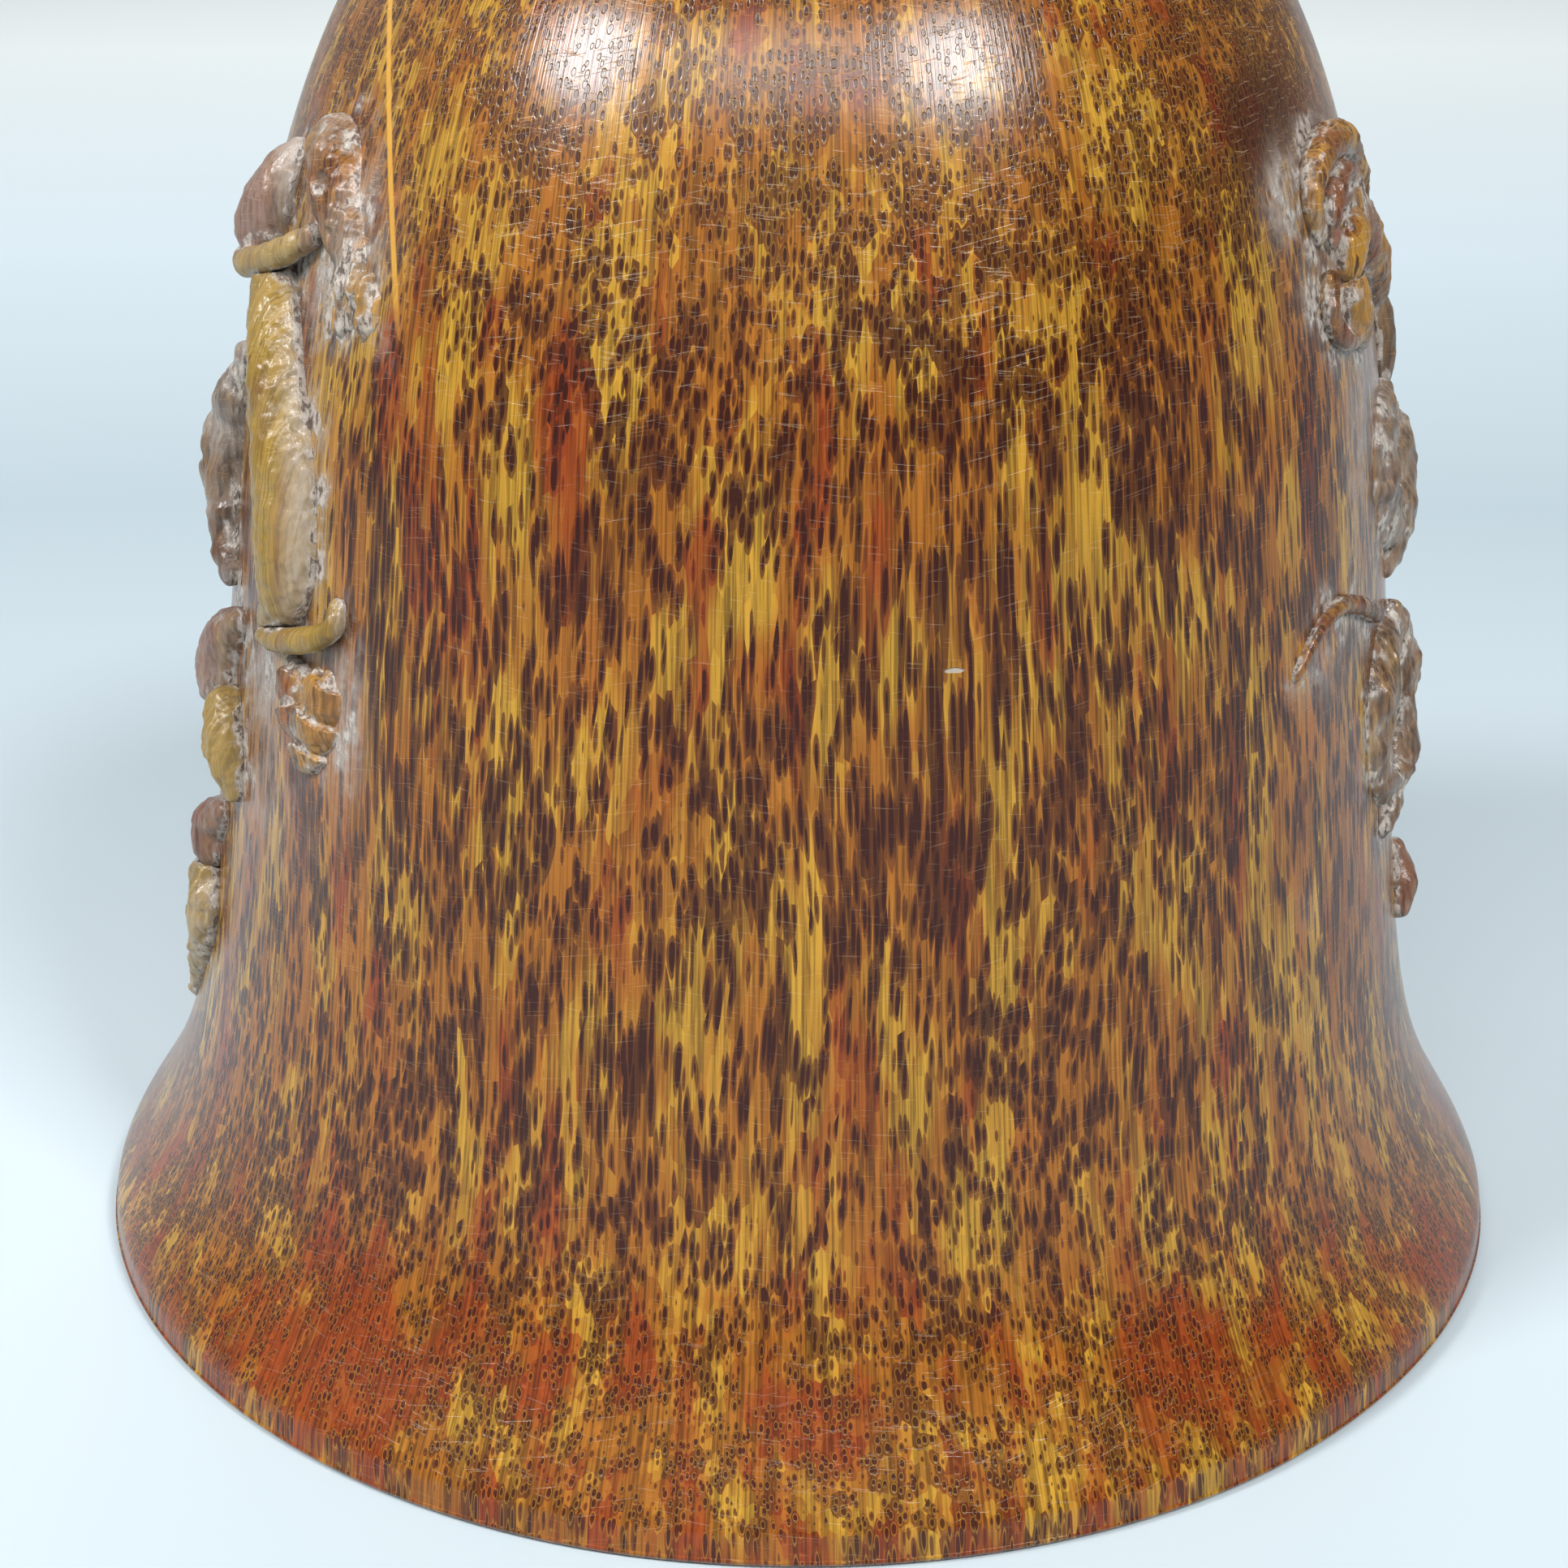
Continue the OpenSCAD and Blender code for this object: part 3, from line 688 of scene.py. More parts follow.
# Horn is a bundle of fibres that run with the cup's axis. The turned wall cuts them at a slant,
# so that each shows as a long pointed fleck on the body and as a short dot on the flare and the end.
fibre_mm = 0.44
pigment_mm = 4.5
pigment_long_mm = 14
fleck_mm = 1.3
fleck_long_mm = 5
clear_mm = 4
clear_long_mm = 18
red_mm = 3
red_long_mm = 40
streak_mm = 0.2
streak_long_mm = 9
scratch_mm = 0.1
scratch_long_mm = 2.2
rising_tilt = 0.10
falling_tilt = -0.22
sway_mm = 16
sway_long_mm = 34
sway_reach_mm = 3.6
jog_mm = 4.5
grit_mm = 0.45
grit_long_mm = 0.8
blotch_mm = 1.5
blotch_long_mm = 2.2
haze_mm = 11
knife_mm = 0.55
knife_long_mm = 1.1

# Loads of pigment at which a fibre turns brown and dark, and the middles of the yellow and the red
brown_load = (0.455, 0.480)
dark_load = (0.522, 0.542)
yellow_middle = 0.58
red_middle = 0.64
middle_h = 46.0
ends_begin = (24.0, 40.0)

# A pale fibre and a nick, in the cup's own frame
pale_fibre_x = -20.9
pale_fibre_lean = 0.059
pale_fibre_foot = (72.0, 78.0)
pale_fibre_front = (-4.0, -8.0)
nick_azimuth = 282.2
nick_h = 55.5
nick_size = (0.8, 1.5, 0.17)
nick_place = (wall_r(nick_h) * math.cos(math.radians(nick_azimuth)),
              wall_r(nick_h) * math.sin(math.radians(nick_azimuth)), nick_h)

grain_colours = ("Dark", "Brown", "Amber", "Yellow", "Red", "Residue")
grain_numbers = ("Pigment", "Fibre strength", "Knife marks", "Roughness")


def grain_group():
    """Horn's fibres, pigment, streaks and polishing marks, read from the object's own place in space."""
    tree = bpy.data.node_groups.new("Horn grain", "ShaderNodeTree")
    sockets(tree, "INPUT", {**dict.fromkeys(grain_colours, "Color"), **dict.fromkeys(grain_numbers, "Float")})
    sockets(tree, "OUTPUT", {"Colour": "Color", "Roughness": "Float", "Relief": "Float"})
    add = functools.partial(put, tree)
    eased = functools.partial(put, tree, RANGE, interpolation_type="SMOOTHSTEP")
    given = add("NodeGroupInput")
    strength = given["Fibre strength"]

    inmm = add(VECTORS, add("ShaderNodeTexCoord")["Object"], (1 / MM, 1 / MM, 1 / MM), operation="MULTIPLY")[0]
    x, y, z = add("ShaderNodeSeparateXYZ", inmm)
    tone = add("ShaderNodeAttribute", attribute_name="tone")["Color"]
    dark_tone, red_tone, yellow_tone = add("ShaderNodeSeparateColor", tone)
    dust, smear = (add("ShaderNodeAttribute", attribute_name=name)["Fac"] for name in ("dust", "smear"))

    # Fibres waver slowly along their length
    slow = add(VECTORS, inmm, (1 / sway_mm, 1 / sway_mm, 1 / sway_long_mm), operation="MULTIPLY")[0]
    slow = add(NOISE, {"Vector": slow, "Scale": 1.0, "Detail": 1.0, "Roughness": 0.4})["Color"]
    slow = add(VECTORS, slow, (0.5, 0.5, 0.5), operation="SUBTRACT")[0]
    swayed = add(VECTORS, slow, (sway_reach_mm, sway_reach_mm, 0), inmm, operation="MULTIPLY_ADD")[0]
    across = add(VECTORS, swayed, (1 / fibre_mm, 1 / fibre_mm, 0), operation="MULTIPLY")[0]
    off_centre, tint, centre = add("ShaderNodeTexVoronoi", {"Vector": across, "Scale": 1.0, "Randomness": 0.9},
                                   voronoi_dimensions="2D")[:3]
    chance = add("ShaderNodeSeparateColor", tint)

    # Each fibre is pigmented over its own lengths, so that patches of pigment end unevenly
    jog = add(MATH, chance[0], jog_mm, z, operation="MULTIPLY_ADD")[0]
    flat = add(VECTORS, inmm, (1, 1, 0), operation="MULTIPLY")[0]
    outward = add(VECTORS, flat, operation="NORMALIZE")[0]

    # Each row: what is followed across and its size in mm, what is followed upwards, the pattern's size
    # across and upwards in mm, its detail and its roughness
    noises = (
        (centre, fibre_mm, jog, pigment_mm, pigment_long_mm, 1.5, 0.5),
        (centre, fibre_mm, jog, fleck_mm, fleck_long_mm, 1.0, 0.5),
        (centre, fibre_mm, jog, clear_mm, clear_long_mm, 2.0, 0.55),
        (centre, fibre_mm, z, red_mm, red_long_mm, 2.0, 0.5),
        (outward, low_r, z, streak_mm, streak_long_mm, 2.0, 0.6),
        (outward, low_r, ("MULTIPLY_ADD", x, rising_tilt, z), scratch_long_mm, scratch_mm, 1.0, 0.5),
        (outward, low_r, ("MULTIPLY_ADD", x, falling_tilt, z), 1.6 * scratch_long_mm, scratch_mm, 1.0, 0.5),
        (flat, 1.0, z, grit_mm, grit_long_mm, 3.0, 0.65),
        (flat, 1.0, z, blotch_mm, blotch_long_mm, 2.0, 0.6),
        (flat, 1.0, z, haze_mm, haze_mm, 2.0, 0.6),
        (flat, 1.0, z, knife_mm, knife_long_mm, 2.0, 0.6))
    found = []
    for followed, unit, level, wide, long, detail, rough in noises:
        up = add("ShaderNodeCombineXYZ", 0.0, 0.0, ("MULTIPLY", level, 1 / long))[0]
        spot = add(VECTORS, followed, (unit / wide, unit / wide, 0), up, operation="MULTIPLY_ADD")[0]
        found.append(add(NOISE, {"Vector": spot, "Scale": 1.0, "Detail": detail, "Roughness": rough})[0])
    patch, fleck, warm, redness, streak, rising, falling, grit, blotch, haze, knife = found

    # A fibre's load of pigment falls off from its middle, and is a little higher near the cup's two ends
    ends = eased(("ABSOLUTE", ("SUBTRACT", z, middle_h)), *ends_begin)[0]
    load = given["Pigment"]
    for value, share in ((patch, 0.30), (fleck, 0.70), (chance[1], 0.12), (dark_tone, 0.09), (yellow_tone, -0.09),
                         (ends, 0.015), (off_centre, -0.22)):
        load = add(MATH, value, share, load, operation="MULTIPLY_ADD")[0]
    brown, dark = (add(MATH, eased(load, *limits)[0], strength, operation="MULTIPLY")[0]
                   for limits in (brown_load, dark_load))

    # Clear horn runs from amber to yellow, in long streaks, and red in places
    soft = add(MATH, 0.09, strength, operation="DIVIDE")[0]
    clear = ("MULTIPLY_ADD", yellow_tone, 0.16, ("MULTIPLY_ADD", chance[2], 0.08, warm))
    redness = ("MULTIPLY_ADD", red_tone, 0.30, redness)
    yellow_share, red_share = (eased(value, ("SUBTRACT", middle, soft), ("ADD", middle, soft))[0]
                               for value, middle in ((clear, yellow_middle), (redness, red_middle)))
    base = laid_over(tree, given["Amber"], [
        (yellow_share, given["Yellow"]),
        (("MULTIPLY", brown, 0.8), given["Brown"]),
        (("MULTIPLY", red_share, 0.8), given["Red"])])
    uneven_fibres = ("MULTIPLY", chance[2], eased(strength, 0.5, 1.0, 0.0, 0.3)[0])
    line = ("ADD", uneven_fibres, eased(streak, 0.36, 0.60, -0.62, 0.02)[0])
    base = add(VECTORS, {0: base, "Scale": ("MULTIPLY_ADD", line, strength, 1.0)}, operation="SCALE")[0]

    # A pigmented fibre has a dark core, and a thin pale rim where it is cut nearly square across
    thick = ("MULTIPLY_ADD", ends, -0.06, ("MULTIPLY_ADD", chance[2], 0.16, 0.25))
    off_core = add(MATH, off_centre, thick, operation="SUBTRACT")[0]
    core = eased(off_core, -0.05, 0.05, 1.0, 0.0)[0]
    rim = eased(("ABSOLUTE", ("SUBTRACT", off_core, 0.08)), 0.02, 0.07, 1.0, 0.0)[0]
    dark_core = add(MATH, core, dark, operation="MULTIPLY")[0]

    # Grey residue lies in the carving's creases, broken up and pitted by its own grain
    dust = add(MATH, dust, eased(blotch, 0.40, 0.58, 0.35, 1.2)[0], operation="MULTIPLY")[0]
    film = eased(("MULTIPLY_ADD", grit, 0.3, dust), 0.20, 1.10)[0]
    worn = eased(("ADD", ("ADD", grit, blotch), streak), 1.20, 1.65, 0.50, 1.0)[0]
    silt = eased(("MULTIPLY_ADD", grit, 0.9, dust), 0.84, 1.16)[0]
    pitted = laid_over(tree, given["Dark"], [
        (eased(grit, 0.40, 0.50)[0], given["Residue"]),
        (eased(grit, 0.52, 0.64)[0], colour("#bdb4aa"))])

    # Polishing marks run round the cup, some tilted one way and some the other. Their pale colour is partly their own,
    # and where it grows stronger towards the top it is a painted glint of the lamps.
    scratches_and_glints = eased(("MAXIMUM", rising, falling), 0.65, 0.77)[0]

    # One pale fibre runs up the left of the front, and a small nick lies right of the middle
    beside = ("SUBTRACT", ("MULTIPLY_ADD", z, pale_fibre_lean, x), pale_fibre_x)
    pale = ("MULTIPLY", eased(("ABSOLUTE", beside), 0.10, 0.26, 1.0, 0.0)[0],
            ("MULTIPLY", eased(z, *pale_fibre_foot)[0], eased(y, *pale_fibre_front)[0]))
    off_nick = add(VECTORS, inmm, nick_place, operation="SUBTRACT")[0]
    off_nick = add(VECTORS, off_nick, tuple(1 / size for size in nick_size), operation="MULTIPLY")[0]
    off_nick = add(VECTORS, off_nick, operation="LENGTH")["Value"]
    nick = eased(("MULTIPLY_ADD", grit, 1.4, off_nick), 1.3, 1.7, 1.0, 0.0)[0]

    base = laid_over(tree, base, [
        (("MULTIPLY", ("MULTIPLY", rim, brown), ("MULTIPLY", ends, 0.5)), given["Yellow"]),
        (("MULTIPLY", ("MULTIPLY", core, brown), 0.35), given["Dark"]),
        # Dark cores and dark fibres are weakened towards the cup's two ends, partly as a painted sheen of overhead
        # light on the top and the flare
        (("MULTIPLY", dark_core, ("MULTIPLY_ADD", ends, -0.36, 0.92)), given["Dark"]),
        (("MULTIPLY", dark, ("MULTIPLY_ADD", ends, -0.25, 0.45)), given["Dark"]),
        (eased(dark_tone, 1.1, 2.4, 0.0, 0.65)[0], given["Dark"]),
        (("MULTIPLY", ("MULTIPLY_ADD", smear, worn, film), 0.68), given["Residue"]),
        (("MULTIPLY", silt, 0.74), pitted),
        # Painted glint: the scratches are painted paler towards the top, where they catch the lamps
        (("MULTIPLY", scratches_and_glints, eased(z, 62.0, 86.0, 0.07, 0.20)[0]), colour("#d8bc94")),
        (("MULTIPLY", pale, 0.8), colour("#d09a3c")),
        (("MULTIPLY", nick, 0.8), colour("#a8a097"))])

    # Gloss is dulled by haze, marks and residue. Relief is in millimetres.
    rough = ("SUBTRACT", given["Roughness"], 0.08)
    for value, share in ((haze, 0.16), (scratches_and_glints, 0.10)):
        rough = ("MULTIPLY_ADD", value, share, rough)
    rough = add(MATH, silt, 0.16, rough, operation="MULTIPLY_ADD", use_clamp=True)[0]
    relief = ("MULTIPLY", streak, 0.018)
    for value, share in ((dark_core, -0.010), (scratches_and_glints, -0.006), (("MULTIPLY", grit, silt), 0.12), (nick, -0.05),
                         (knife, given["Knife marks"])):
        relief = ("MULTIPLY_ADD", value, share, relief)
    add("NodeGroupOutput", {"Colour": base, "Roughness": rough, "Relief": relief})
    return tree


def laid_over(tree, base, layers):
    """A colour with others laid over it in turn, each by its share."""
    for share, over in layers:
        base = put(tree, "ShaderNodeMix", {0: share, 6: base, 7: over}, data_type="RGBA")[2]
    return base


def horn_material(name, hexes, pigment, fibre_strength, knife_marks, roughness):
    """Horn with its grain. The hexes are in the order of grain_colours, and knife marks are in millimetres."""
    material = bpy.data.materials.new(name)
    tree = emptied(material)
    given = dict(zip(grain_colours, map(colour, hexes.split())))
    given.update(zip(grain_numbers, (pigment, fibre_strength, knife_marks, roughness)))
    look = put(tree, "ShaderNodeGroup", given, node_tree=grain)
    normal = put(tree, "ShaderNodeBump", {"Strength": 1.0, "Distance": MM, "Height": look["Relief"]})[0]
    surface = put(tree, "ShaderNodeBsdfPrincipled", {
        "Base Color": look["Colour"], "Roughness": look["Roughness"], "Normal": normal, "IOR": 1.5,
        "Specular IOR Level": 0.38})[0]
    put(tree, "ShaderNodeOutputMaterial", surface)
    return material


grain = grain_group()

# Turned and polished horn: glossy and warm, mottled dark and amber, with fine marks of polishing
polished_horn = horn_material("polished mottled horn", "#2d0a03 #562a0e #875115 #9f7624 #76290c #a39a92",
                              0.0, 1.0, 0.0, 0.20)

# Carved horn: cut with a knife and polished less, so that its gloss is softer and broken by small facets.
# It is duller than the wall, because grey residue has stayed on it since it was cut.
carved_horn = {
    "amber": horn_material("carved amber horn", "#34180a #5c3514 #7e5220 #a0742c #6c3418 #a59b91",
                           -0.02, 0.75, 0.09, 0.27),
    "dark": horn_material("carved dark horn", "#2e1a10 #573d24 #745638 #957648 #643e2a #a1978e",
                          0.01, 0.6, 0.10, 0.28),
    "red": horn_material("carved red horn", "#3a2218 #5c402b #76583c #9c8048 #74493c #a69c94",
                         -0.06, 0.5, 0.09, 0.32),
    "yellow": horn_material("carved yellow horn", "#34200e #5e431c #785c24 #92742e #704624 #a89e94",
                            -0.12, 0.6, 0.09, 0.28)}

# The turned wall and the disc

segments = 384
closing_mm = 0.0002
turning = turning_tree()

# Patches that stand out on the plain front, placed in the photograph's frame:
# across, down, half width, half height, how strong
dark_patches = [
    (1550, 150, 90, 130, 2.4), (1360, 480, 90, 130, 1), (1190, 460, 50, 70, 1), (930, 600, 60, 60, .8),
    (1490, 940, 90, 80, 1), (1340, 960, 50, 120, .8), (920, 920, 70, 60, .8), (1150, 1050, 60, 120, .7),
    (640, 1010, 60, 60, .9), (750, 680, 30, 150, .7), (480, 850, 20, 200, .8), (900, 1140, 60, 60, .8),
    (1420, 620, 50, 60, .8)]
red_patches = [
    (420, 1660, 130, 90, 1), (480, 500, 20, 130, 1), (700, 500, 40, 120, .6), (840, 700, 60, 60, .7),
    (1300, 800, 30, 100, .7), (980, 1750, 40, 60, .8), (1480, 1650, 120, 80, .9), (1780, 1560, 50, 60, .9),
    (930, 830, 60, 60, .7)]
yellow_patches = [
    (540, 460, 40, 110, 1), (660, 600, 30, 60, .9), (930, 740, 50, 70, .9), (1090, 810, 25, 100, 1),
    (1125, 1360, 25, 50, 1), (830, 1250, 60, 40, .8), (690, 1270, 30, 40, .8), (1230, 1180, 30, 60, .8),
    (1600, 1240, 30, 60, .8), (960, 1640, 40, 40, .7), (800, 240, 60, 40, .6), (545, 200, 40, 60, .7),
    (425, 440, 42, 110, 1), (405, 310, 36, 60, 1.7), (400, 640, 26, 150, .8), (1560, 430, 50, 90, .5)]
residue_patches = [
    (1580, 240, 26, 60, 1.1), (1640, 375, 34, 44, 1.1), (434, 342, 16, 18, 1.2), (440, 300, 50, 110, .6),
    (402, 310, 34, 60, .9), (385, 600, 26, 200, .5), (325, 960, 40, 110, .35), (425, 890, 22, 80, 1.3),
    (328, 830, 30, 60, .9), (372, 1040, 90, 110, .15), (1636, 820, 40, 70, .3), (1611, 1122, 15, 32, .25),
    (1675, 560, 20, 160, .6)]


# The horn reddens towards the mouth, and residue thins out beside the carving over a few millimetres
mouth_red = 0.5
mouth_red_h = 12
residue_reach = 1.6
inside_dust = 0.12
dust_share = 0.45
smear_share = 0.8
patch_most = 2.4


def patched(across, down, seen, patches):
    """How strongly the patches show at some places of the picture."""
    total = np.zeros(len(across))
    for x, y, half_wide, half_high, strong in patches:
        far = ((across - x) / half_wide) ** 2 + ((down - y) / half_high) ** 2
        total += strong * np.exp(-1.2 * far)
    return np.clip(total, 0, patch_most) * seen


def turned_horn(name, node, outline, horn):
    """A turned piece, with its tones and its residue."""
    mesh = turned_mesh(turning, name, outline, horn)
    true = point_values(mesh, "co") / MM
    normals = point_values(mesh, "normal")
    places = settled(true)
    mesh.vertices.foreach_set("co", (places * MM).ravel())
    mesh.update()
    across, down = in_picture(places)
    towards = np.array(camera_place) - places
    seen = step_between(0.05, 0.3, (towards * normals).sum(axis=1) / np.linalg.norm(towards, axis=1))
    seen = seen * (places[:, 1] < 0)
    dark, red, yellow, smeared = (patched(across, down, seen, patches) for patches in (
        dark_patches, red_patches, yellow_patches, residue_patches))
    red = red + mouth_red * np.exp(-true[:, 2] / mouth_red_h)
    outer = normals[:, 0] * true[:, 0] + normals[:, 1] * true[:, 1] > 0
    near = distance_to(true, list(strand_balls), 7)
    patchy = np.clip(0.45 + 0.9 * soft_noise(true, 2.4, 31), 0, 1.1)
    dust = np.exp(-np.maximum(near, 0) / residue_reach) * patchy + dust_share * smeared
    store(mesh, tone=np.stack([dark, red, yellow], axis=1), dust=np.where(outer, dust, inside_dust),
          smear=np.clip(smear_share * smeared, 0, 1))
    finished(name, mesh, node)


turned_horn("turned_wall", "horn_wall", wall_outline(), polished_horn)
turned_horn("stepped_disc", "base_disc", disc_outline(), polished_horn)


# The carvings

def bud_scales(carving, field):
    """Three rings of scales on the bud, each standing out over the next."""
    up = (carving.grid[..., 1] / height - 0.433) / 0.081 * 3
    up = up + 0.35 * np.abs(carving.grid[..., 0] - 220.3) / 3
    part = up - np.floor(up)
    return field + 0.55 * (1 - part) ** 2 - 0.12


def stem_flutes(carving, field):
    """Shallow flutes along the knot's lower part."""
    turn = np.radians((carving.grid[..., 0] - 220) * 200)
    lower = step_between(79, 76, carving.grid[..., 1])
    return field + 0.16 * lower * np.cos(turn)


def rock_lumps(carving, field):
    """Heaped stones, rounder towards their tops."""
    return 0.16 + field + 0.42 * soft_noise(carving.places, 2.4, 21) + 0.24 * soft_noise(carving.places, 1.1, 22)


back_step = skin_step * 1.4

carved("upper_cap", "left_upper_cap", "red", [("upper_cap", "red"), ("upper_lip", "yellow")], lumps=0.1, dusty=0.7,
       filmed=0.4, smear=(300, 345))
carved("knot", "left_knot", "amber", [("knot", "amber"), ("knot_foot", "yellow")], clear=["upper_cap", "upper_lip"],
       hollows=[(216.2, .816, 0.85, 1.9), (218.5, .788, 0.5, 1.4)], shape=stem_flutes, lumps=0.2, lump=1.1, dusty=1.1,
       filmed=0.45)
carved("long_stem", "left_long_stem", "yellow", [("long_stem", "yellow")], clear=["upper_lip", "cuff"], lumps=0.09,
       lump=0.8, fibres=0.06, dusty=0.25, filmed=0.15, smear=(318, 362))
carved("left_stones", "left_rock", "dark", [("left_rock", "brown"), ("left_far_rock", "brown"),
       ("left_rock_foot", "dark")], clear=["long_stem"], shape=rock_lumps, lumps=0.12, dusty=0.9, filmed=1.0)
carved("middle_cap", "left_middle_cap", "red", [("middle_cap", "red")], clear=["left_rock"], lumps=0.14, lump=1.1,
       dusty=0.8, filmed=0.45)
carved("middle_column", "left_middle_column", "yellow", [("middle_column", "yellow")], clear=["middle_cap"],
       lumps=0.12, lump=0.9, fibres=0.1, dusty=0.4, smear=(290, 306))
carved("cuff", "left_cuff", "yellow", [("cuff", "yellow")], lumps=0.07, lump=0.8, fibres=0.03, dusty=0.3, filmed=0.1,
       smear=(392, 412))
carved("bud", "left_bud", "amber", [("bud", "orange"), ("bud_right", "orange")], clear=["long_stem", "cuff"],
       blend=0.5, shape=bud_scales, lumps=0.12, lump=0.9, dusty=0.5, filmed=0.3)
carved("lower_cap", "left_lower_cap", "red", [("lower_cap", "red")], clear=["middle_column"], lumps=0.13, lump=1.1,
       dusty=0.6, filmed=0.25)
carved("lower_column", "left_lower_column", "yellow", [("lower_column", "yellow")], clear=["lower_cap"], lumps=0.15,
       lump=1.0, fibres=0.1, dusty=0.6, filmed=0.6)

cloud = ["cloud_body", "cloud_outer", "cloud_inner"]
carved("cloud", "right_scroll", "amber", [("cloud_body", "brown"), ("cloud_outer", "amber"), ("cloud_middle", "red"),
       ("cloud_inner", "orange")], blend=0.15, lumps=0.13, lump=0.9, fibres=0.08, dusty=0.9, filmed=0.1)
carved("small_cloud", "right_small_scroll", "amber", [("small_cloud", "orange"), ("small_cloud_rim", "brown")],
       clear=cloud, lumps=0.13, lump=0.9, fibres=0.08, dusty=0.9, filmed=0.1)
carved("strip", "right_strip", "dark", [("right_strip", "dark")], clear=cloud, lumps=0.08, dusty=0.3)
carved("right_stones", "right_rock", "dark", [("right_rock", "brown"), ("right_near_rock", "brown"),
       ("right_far_rock", "dark"), ("right_rock_foot", "dark")], clear=["right_strip"], shape=rock_lumps, lumps=0.14,
       dusty=0.8, filmed=0.4)
carved("ridge", "right_ridge", "amber", [("right_ridge", "brown")], clear=["right_crag", "right_near_crag",
       "right_far_crag", "right_rock"], lumps=0.08, dusty=0.3, filmed=0.1)
carved("crag", "right_crag", "dark", [("right_crag", "brown"), ("right_near_crag", "brown"),
       ("right_far_crag", "dark")], clear=["right_rock"], shape=rock_lumps, lumps=0.14, dusty=0.8)
carved("knob", "right_knob", "red", [("right_knob", "red")], clear=["right_far_crag"], lumps=0.1)

carved("back_stones", "back_rock", "dark", [("back_rock", "brown"), ("back_rock_top", "brown")], shape=rock_lumps,
       lumps=0.14, dusty=0.8, step=back_step)
carved("back_stem", "back_stem", "yellow", [("back_stem", "yellow")], clear=["back_rock", "back_rock_top",
       "back_lip"], lumps=0.06, step=back_step)
carved("back_cap", "back_cap", "red", [("back_cap", "red"), ("back_lip", "yellow")], lumps=0.06, step=back_step)
carved("back_small_cap", "back_small_cap", "red", [("small_cap", "red")], lumps=0.07, step=back_step)
carved("back_small_stem", "back_small_stem", "yellow", [("small_stem", "yellow")], clear=["small_cap", "back_rock"],
       lumps=0.07, step=back_step)
carved("back_cloud", "back_scroll", "amber", [("back_scroll", "amber"), ("cloud_tail", "amber")], blend=0.15,
       lumps=0.07, dusty=0.8, step=back_step)


# Floor, lamps and camera

# The floor's colours, by the share of its depth from the front of the ramp to its back, in metres. They hold painted
# light and shade: a painted shadow darkens the front, out of view, painted shade darkens the middle behind the cup,
# and painted light brightens the back.
ramp_depth = (-0.35, 1.0)
floor_stops_painted_light_and_shade = ((0.0, "#98a4ab"), (0.16, "#a2aeb5"), (0.21, "#b4c1c7"), (0.29, "#bdcad1"), (0.345, "#b2bfc6"),
               (0.42, "#a9b8c0"), (0.59, "#cddbe3"), (0.98, "#f8ffff"))
floor_half = 12.0


def floor_material():
    """Matt pale paper, with painted shade that is darkest in front and a little darker through the middle of its
    depth, and painted light towards its back.
    """
    material = bpy.data.materials.new("pale paper with painted light and shade")
    tree = emptied(material)
    place = put(tree, "ShaderNodeTexCoord")["Object"]
    depth = put(tree, "ShaderNodeSeparateXYZ", place)[1]
    drift = put(tree, NOISE, {"Vector": place, "Scale": 4.0, "Detail": 1.0})[0]
    share = put(tree, RANGE, ("MULTIPLY_ADD", drift, 0.05, depth), *ramp_depth)[0]
    ramp = put(tree, "ShaderNodeValToRGB", share)[0].node
    while len(ramp.color_ramp.elements) < len(floor_stops_painted_light_and_shade):
        ramp.color_ramp.elements.new(0.5)
    for element, (at, written) in zip(ramp.color_ramp.elements, floor_stops_painted_light_and_shade):
        element.position = at
        element.color = colour(written)
    surface = put(tree, "ShaderNodeBsdfPrincipled", {"Base Color": ramp.outputs[0], "Roughness": 0.9})[0]
    put(tree, "ShaderNodeOutputMaterial", surface)
    return material


def make_floor():
    """A wide flat floor."""
    half = floor_half
    mesh = bpy.data.meshes.new("floor")
    mesh.from_pydata([(-half, -half, 0), (half, -half, 0), (half, half, 0), (-half, half, 0)], [], [(0, 1, 2, 3)])
    mesh.materials.append(floor_material())
    shown_object("floor", mesh)


cup_middle = 0.06


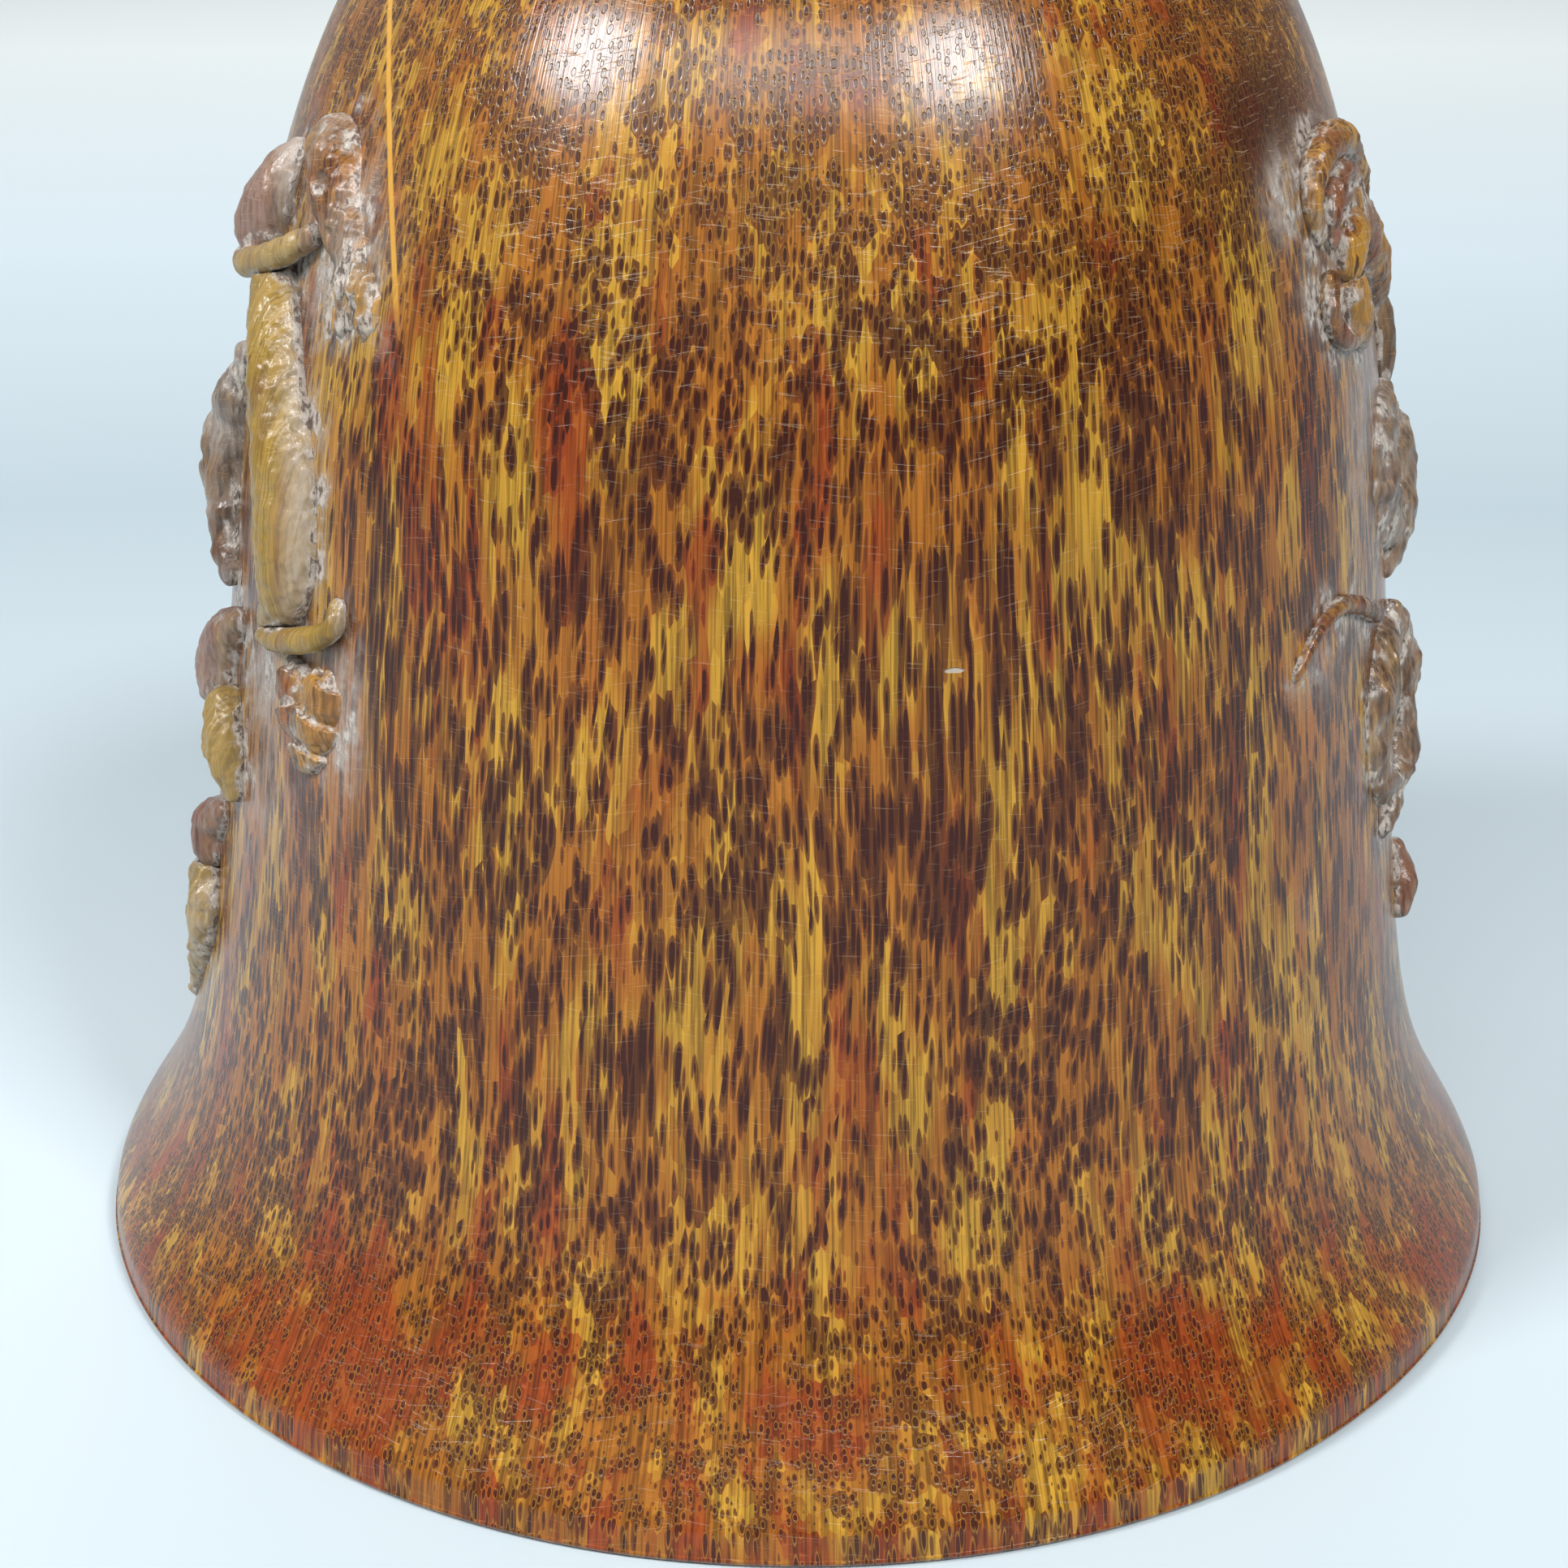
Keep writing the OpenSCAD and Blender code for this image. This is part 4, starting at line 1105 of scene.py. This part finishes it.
def make_lamp(name, azimuth, elevation, far, wide, high, power):
    """A soft rectangular lamp that faces the middle of the cup, at a distance in metres."""
    data = bpy.data.lights.new(name, "AREA")
    data.shape = "RECTANGLE"
    data.size = wide
    data.size_y = high
    data.energy = power
    lamp = shown_object(name, data)
    a, e = math.radians(azimuth), math.radians(elevation)
    towards = np.array([math.cos(e) * math.cos(a), math.cos(e) * math.sin(a), math.sin(e)])
    lamp.location = towards * far + np.array([0, 0, cup_middle])
    lamp.rotation_euler = (math.radians(90 - elevation), 0, a + math.radians(90))


def make_camera():
    """The camera, where the photograph's stood."""
    data = bpy.data.cameras.new("camera")
    data.lens = lens_mm
    data.sensor_width = sensor_mm
    data.clip_start = 0.01
    camera = shown_object("camera", data)
    camera.location = [c * MM for c in camera_place]
    camera.rotation_euler = (math.radians(90 - camera_pitch), 0, 0)
    bpy.context.scene.camera = camera


def make_world():
    """A pale studio, dim at the level of the table, brightest part of the way up, and dimmer on its right."""
    world = bpy.data.worlds.new("studio")
    bpy.context.scene.world = world
    tree = emptied(world)
    right, _, up = put(tree, "ShaderNodeSeparateXYZ", put(tree, "ShaderNodeTexCoord")["Generated"])
    side = put(tree, RANGE, right, 0.1, 0.7, 1.0, 0.4)[0]
    rise = put(tree, RANGE, up, 0.06, 0.3, 0.20, 0.60)[0]
    fall = put(tree, RANGE, up, 0.55, 0.85, 1.0, 0.35)[0]
    level = ("MULTIPLY", ("MULTIPLY", rise, fall), side)
    # The low band behind the table is pale where it is seen, and gives no light of its own
    rays = put(tree, "ShaderNodeLightPath")
    seen = rays["Is Camera Ray"]
    for kind in ("Is Glossy Ray", "Is Transmission Ray"):
        seen = ("MAXIMUM", seen, rays[kind])
    band = ("MULTIPLY", seen, put(tree, RANGE, up, 0.05, 0.12, 0.66, 0.2)[0])
    light = put(tree, "ShaderNodeBackground", {"Color": colour("#f4fafd"), "Strength": ("MAXIMUM", level, band)})[0]
    put(tree, "ShaderNodeOutputWorld", light)


make_floor()
make_lamp("left_window", -151, 42, 1.2, 0.28, 0.24, 10.2)
make_lamp("right_window", -53, 45, 1.2, 0.28, 0.24, 10.4)
make_lamp("high_softbox", -97, 48, 1.2, 0.9, 0.26, 6.4)
make_lamp("back_wash", 90, 38, 2.2, 1.4, 0.9, 10.5)
make_camera()
make_world()

bpy.context.scene.view_settings.view_transform = "Standard"
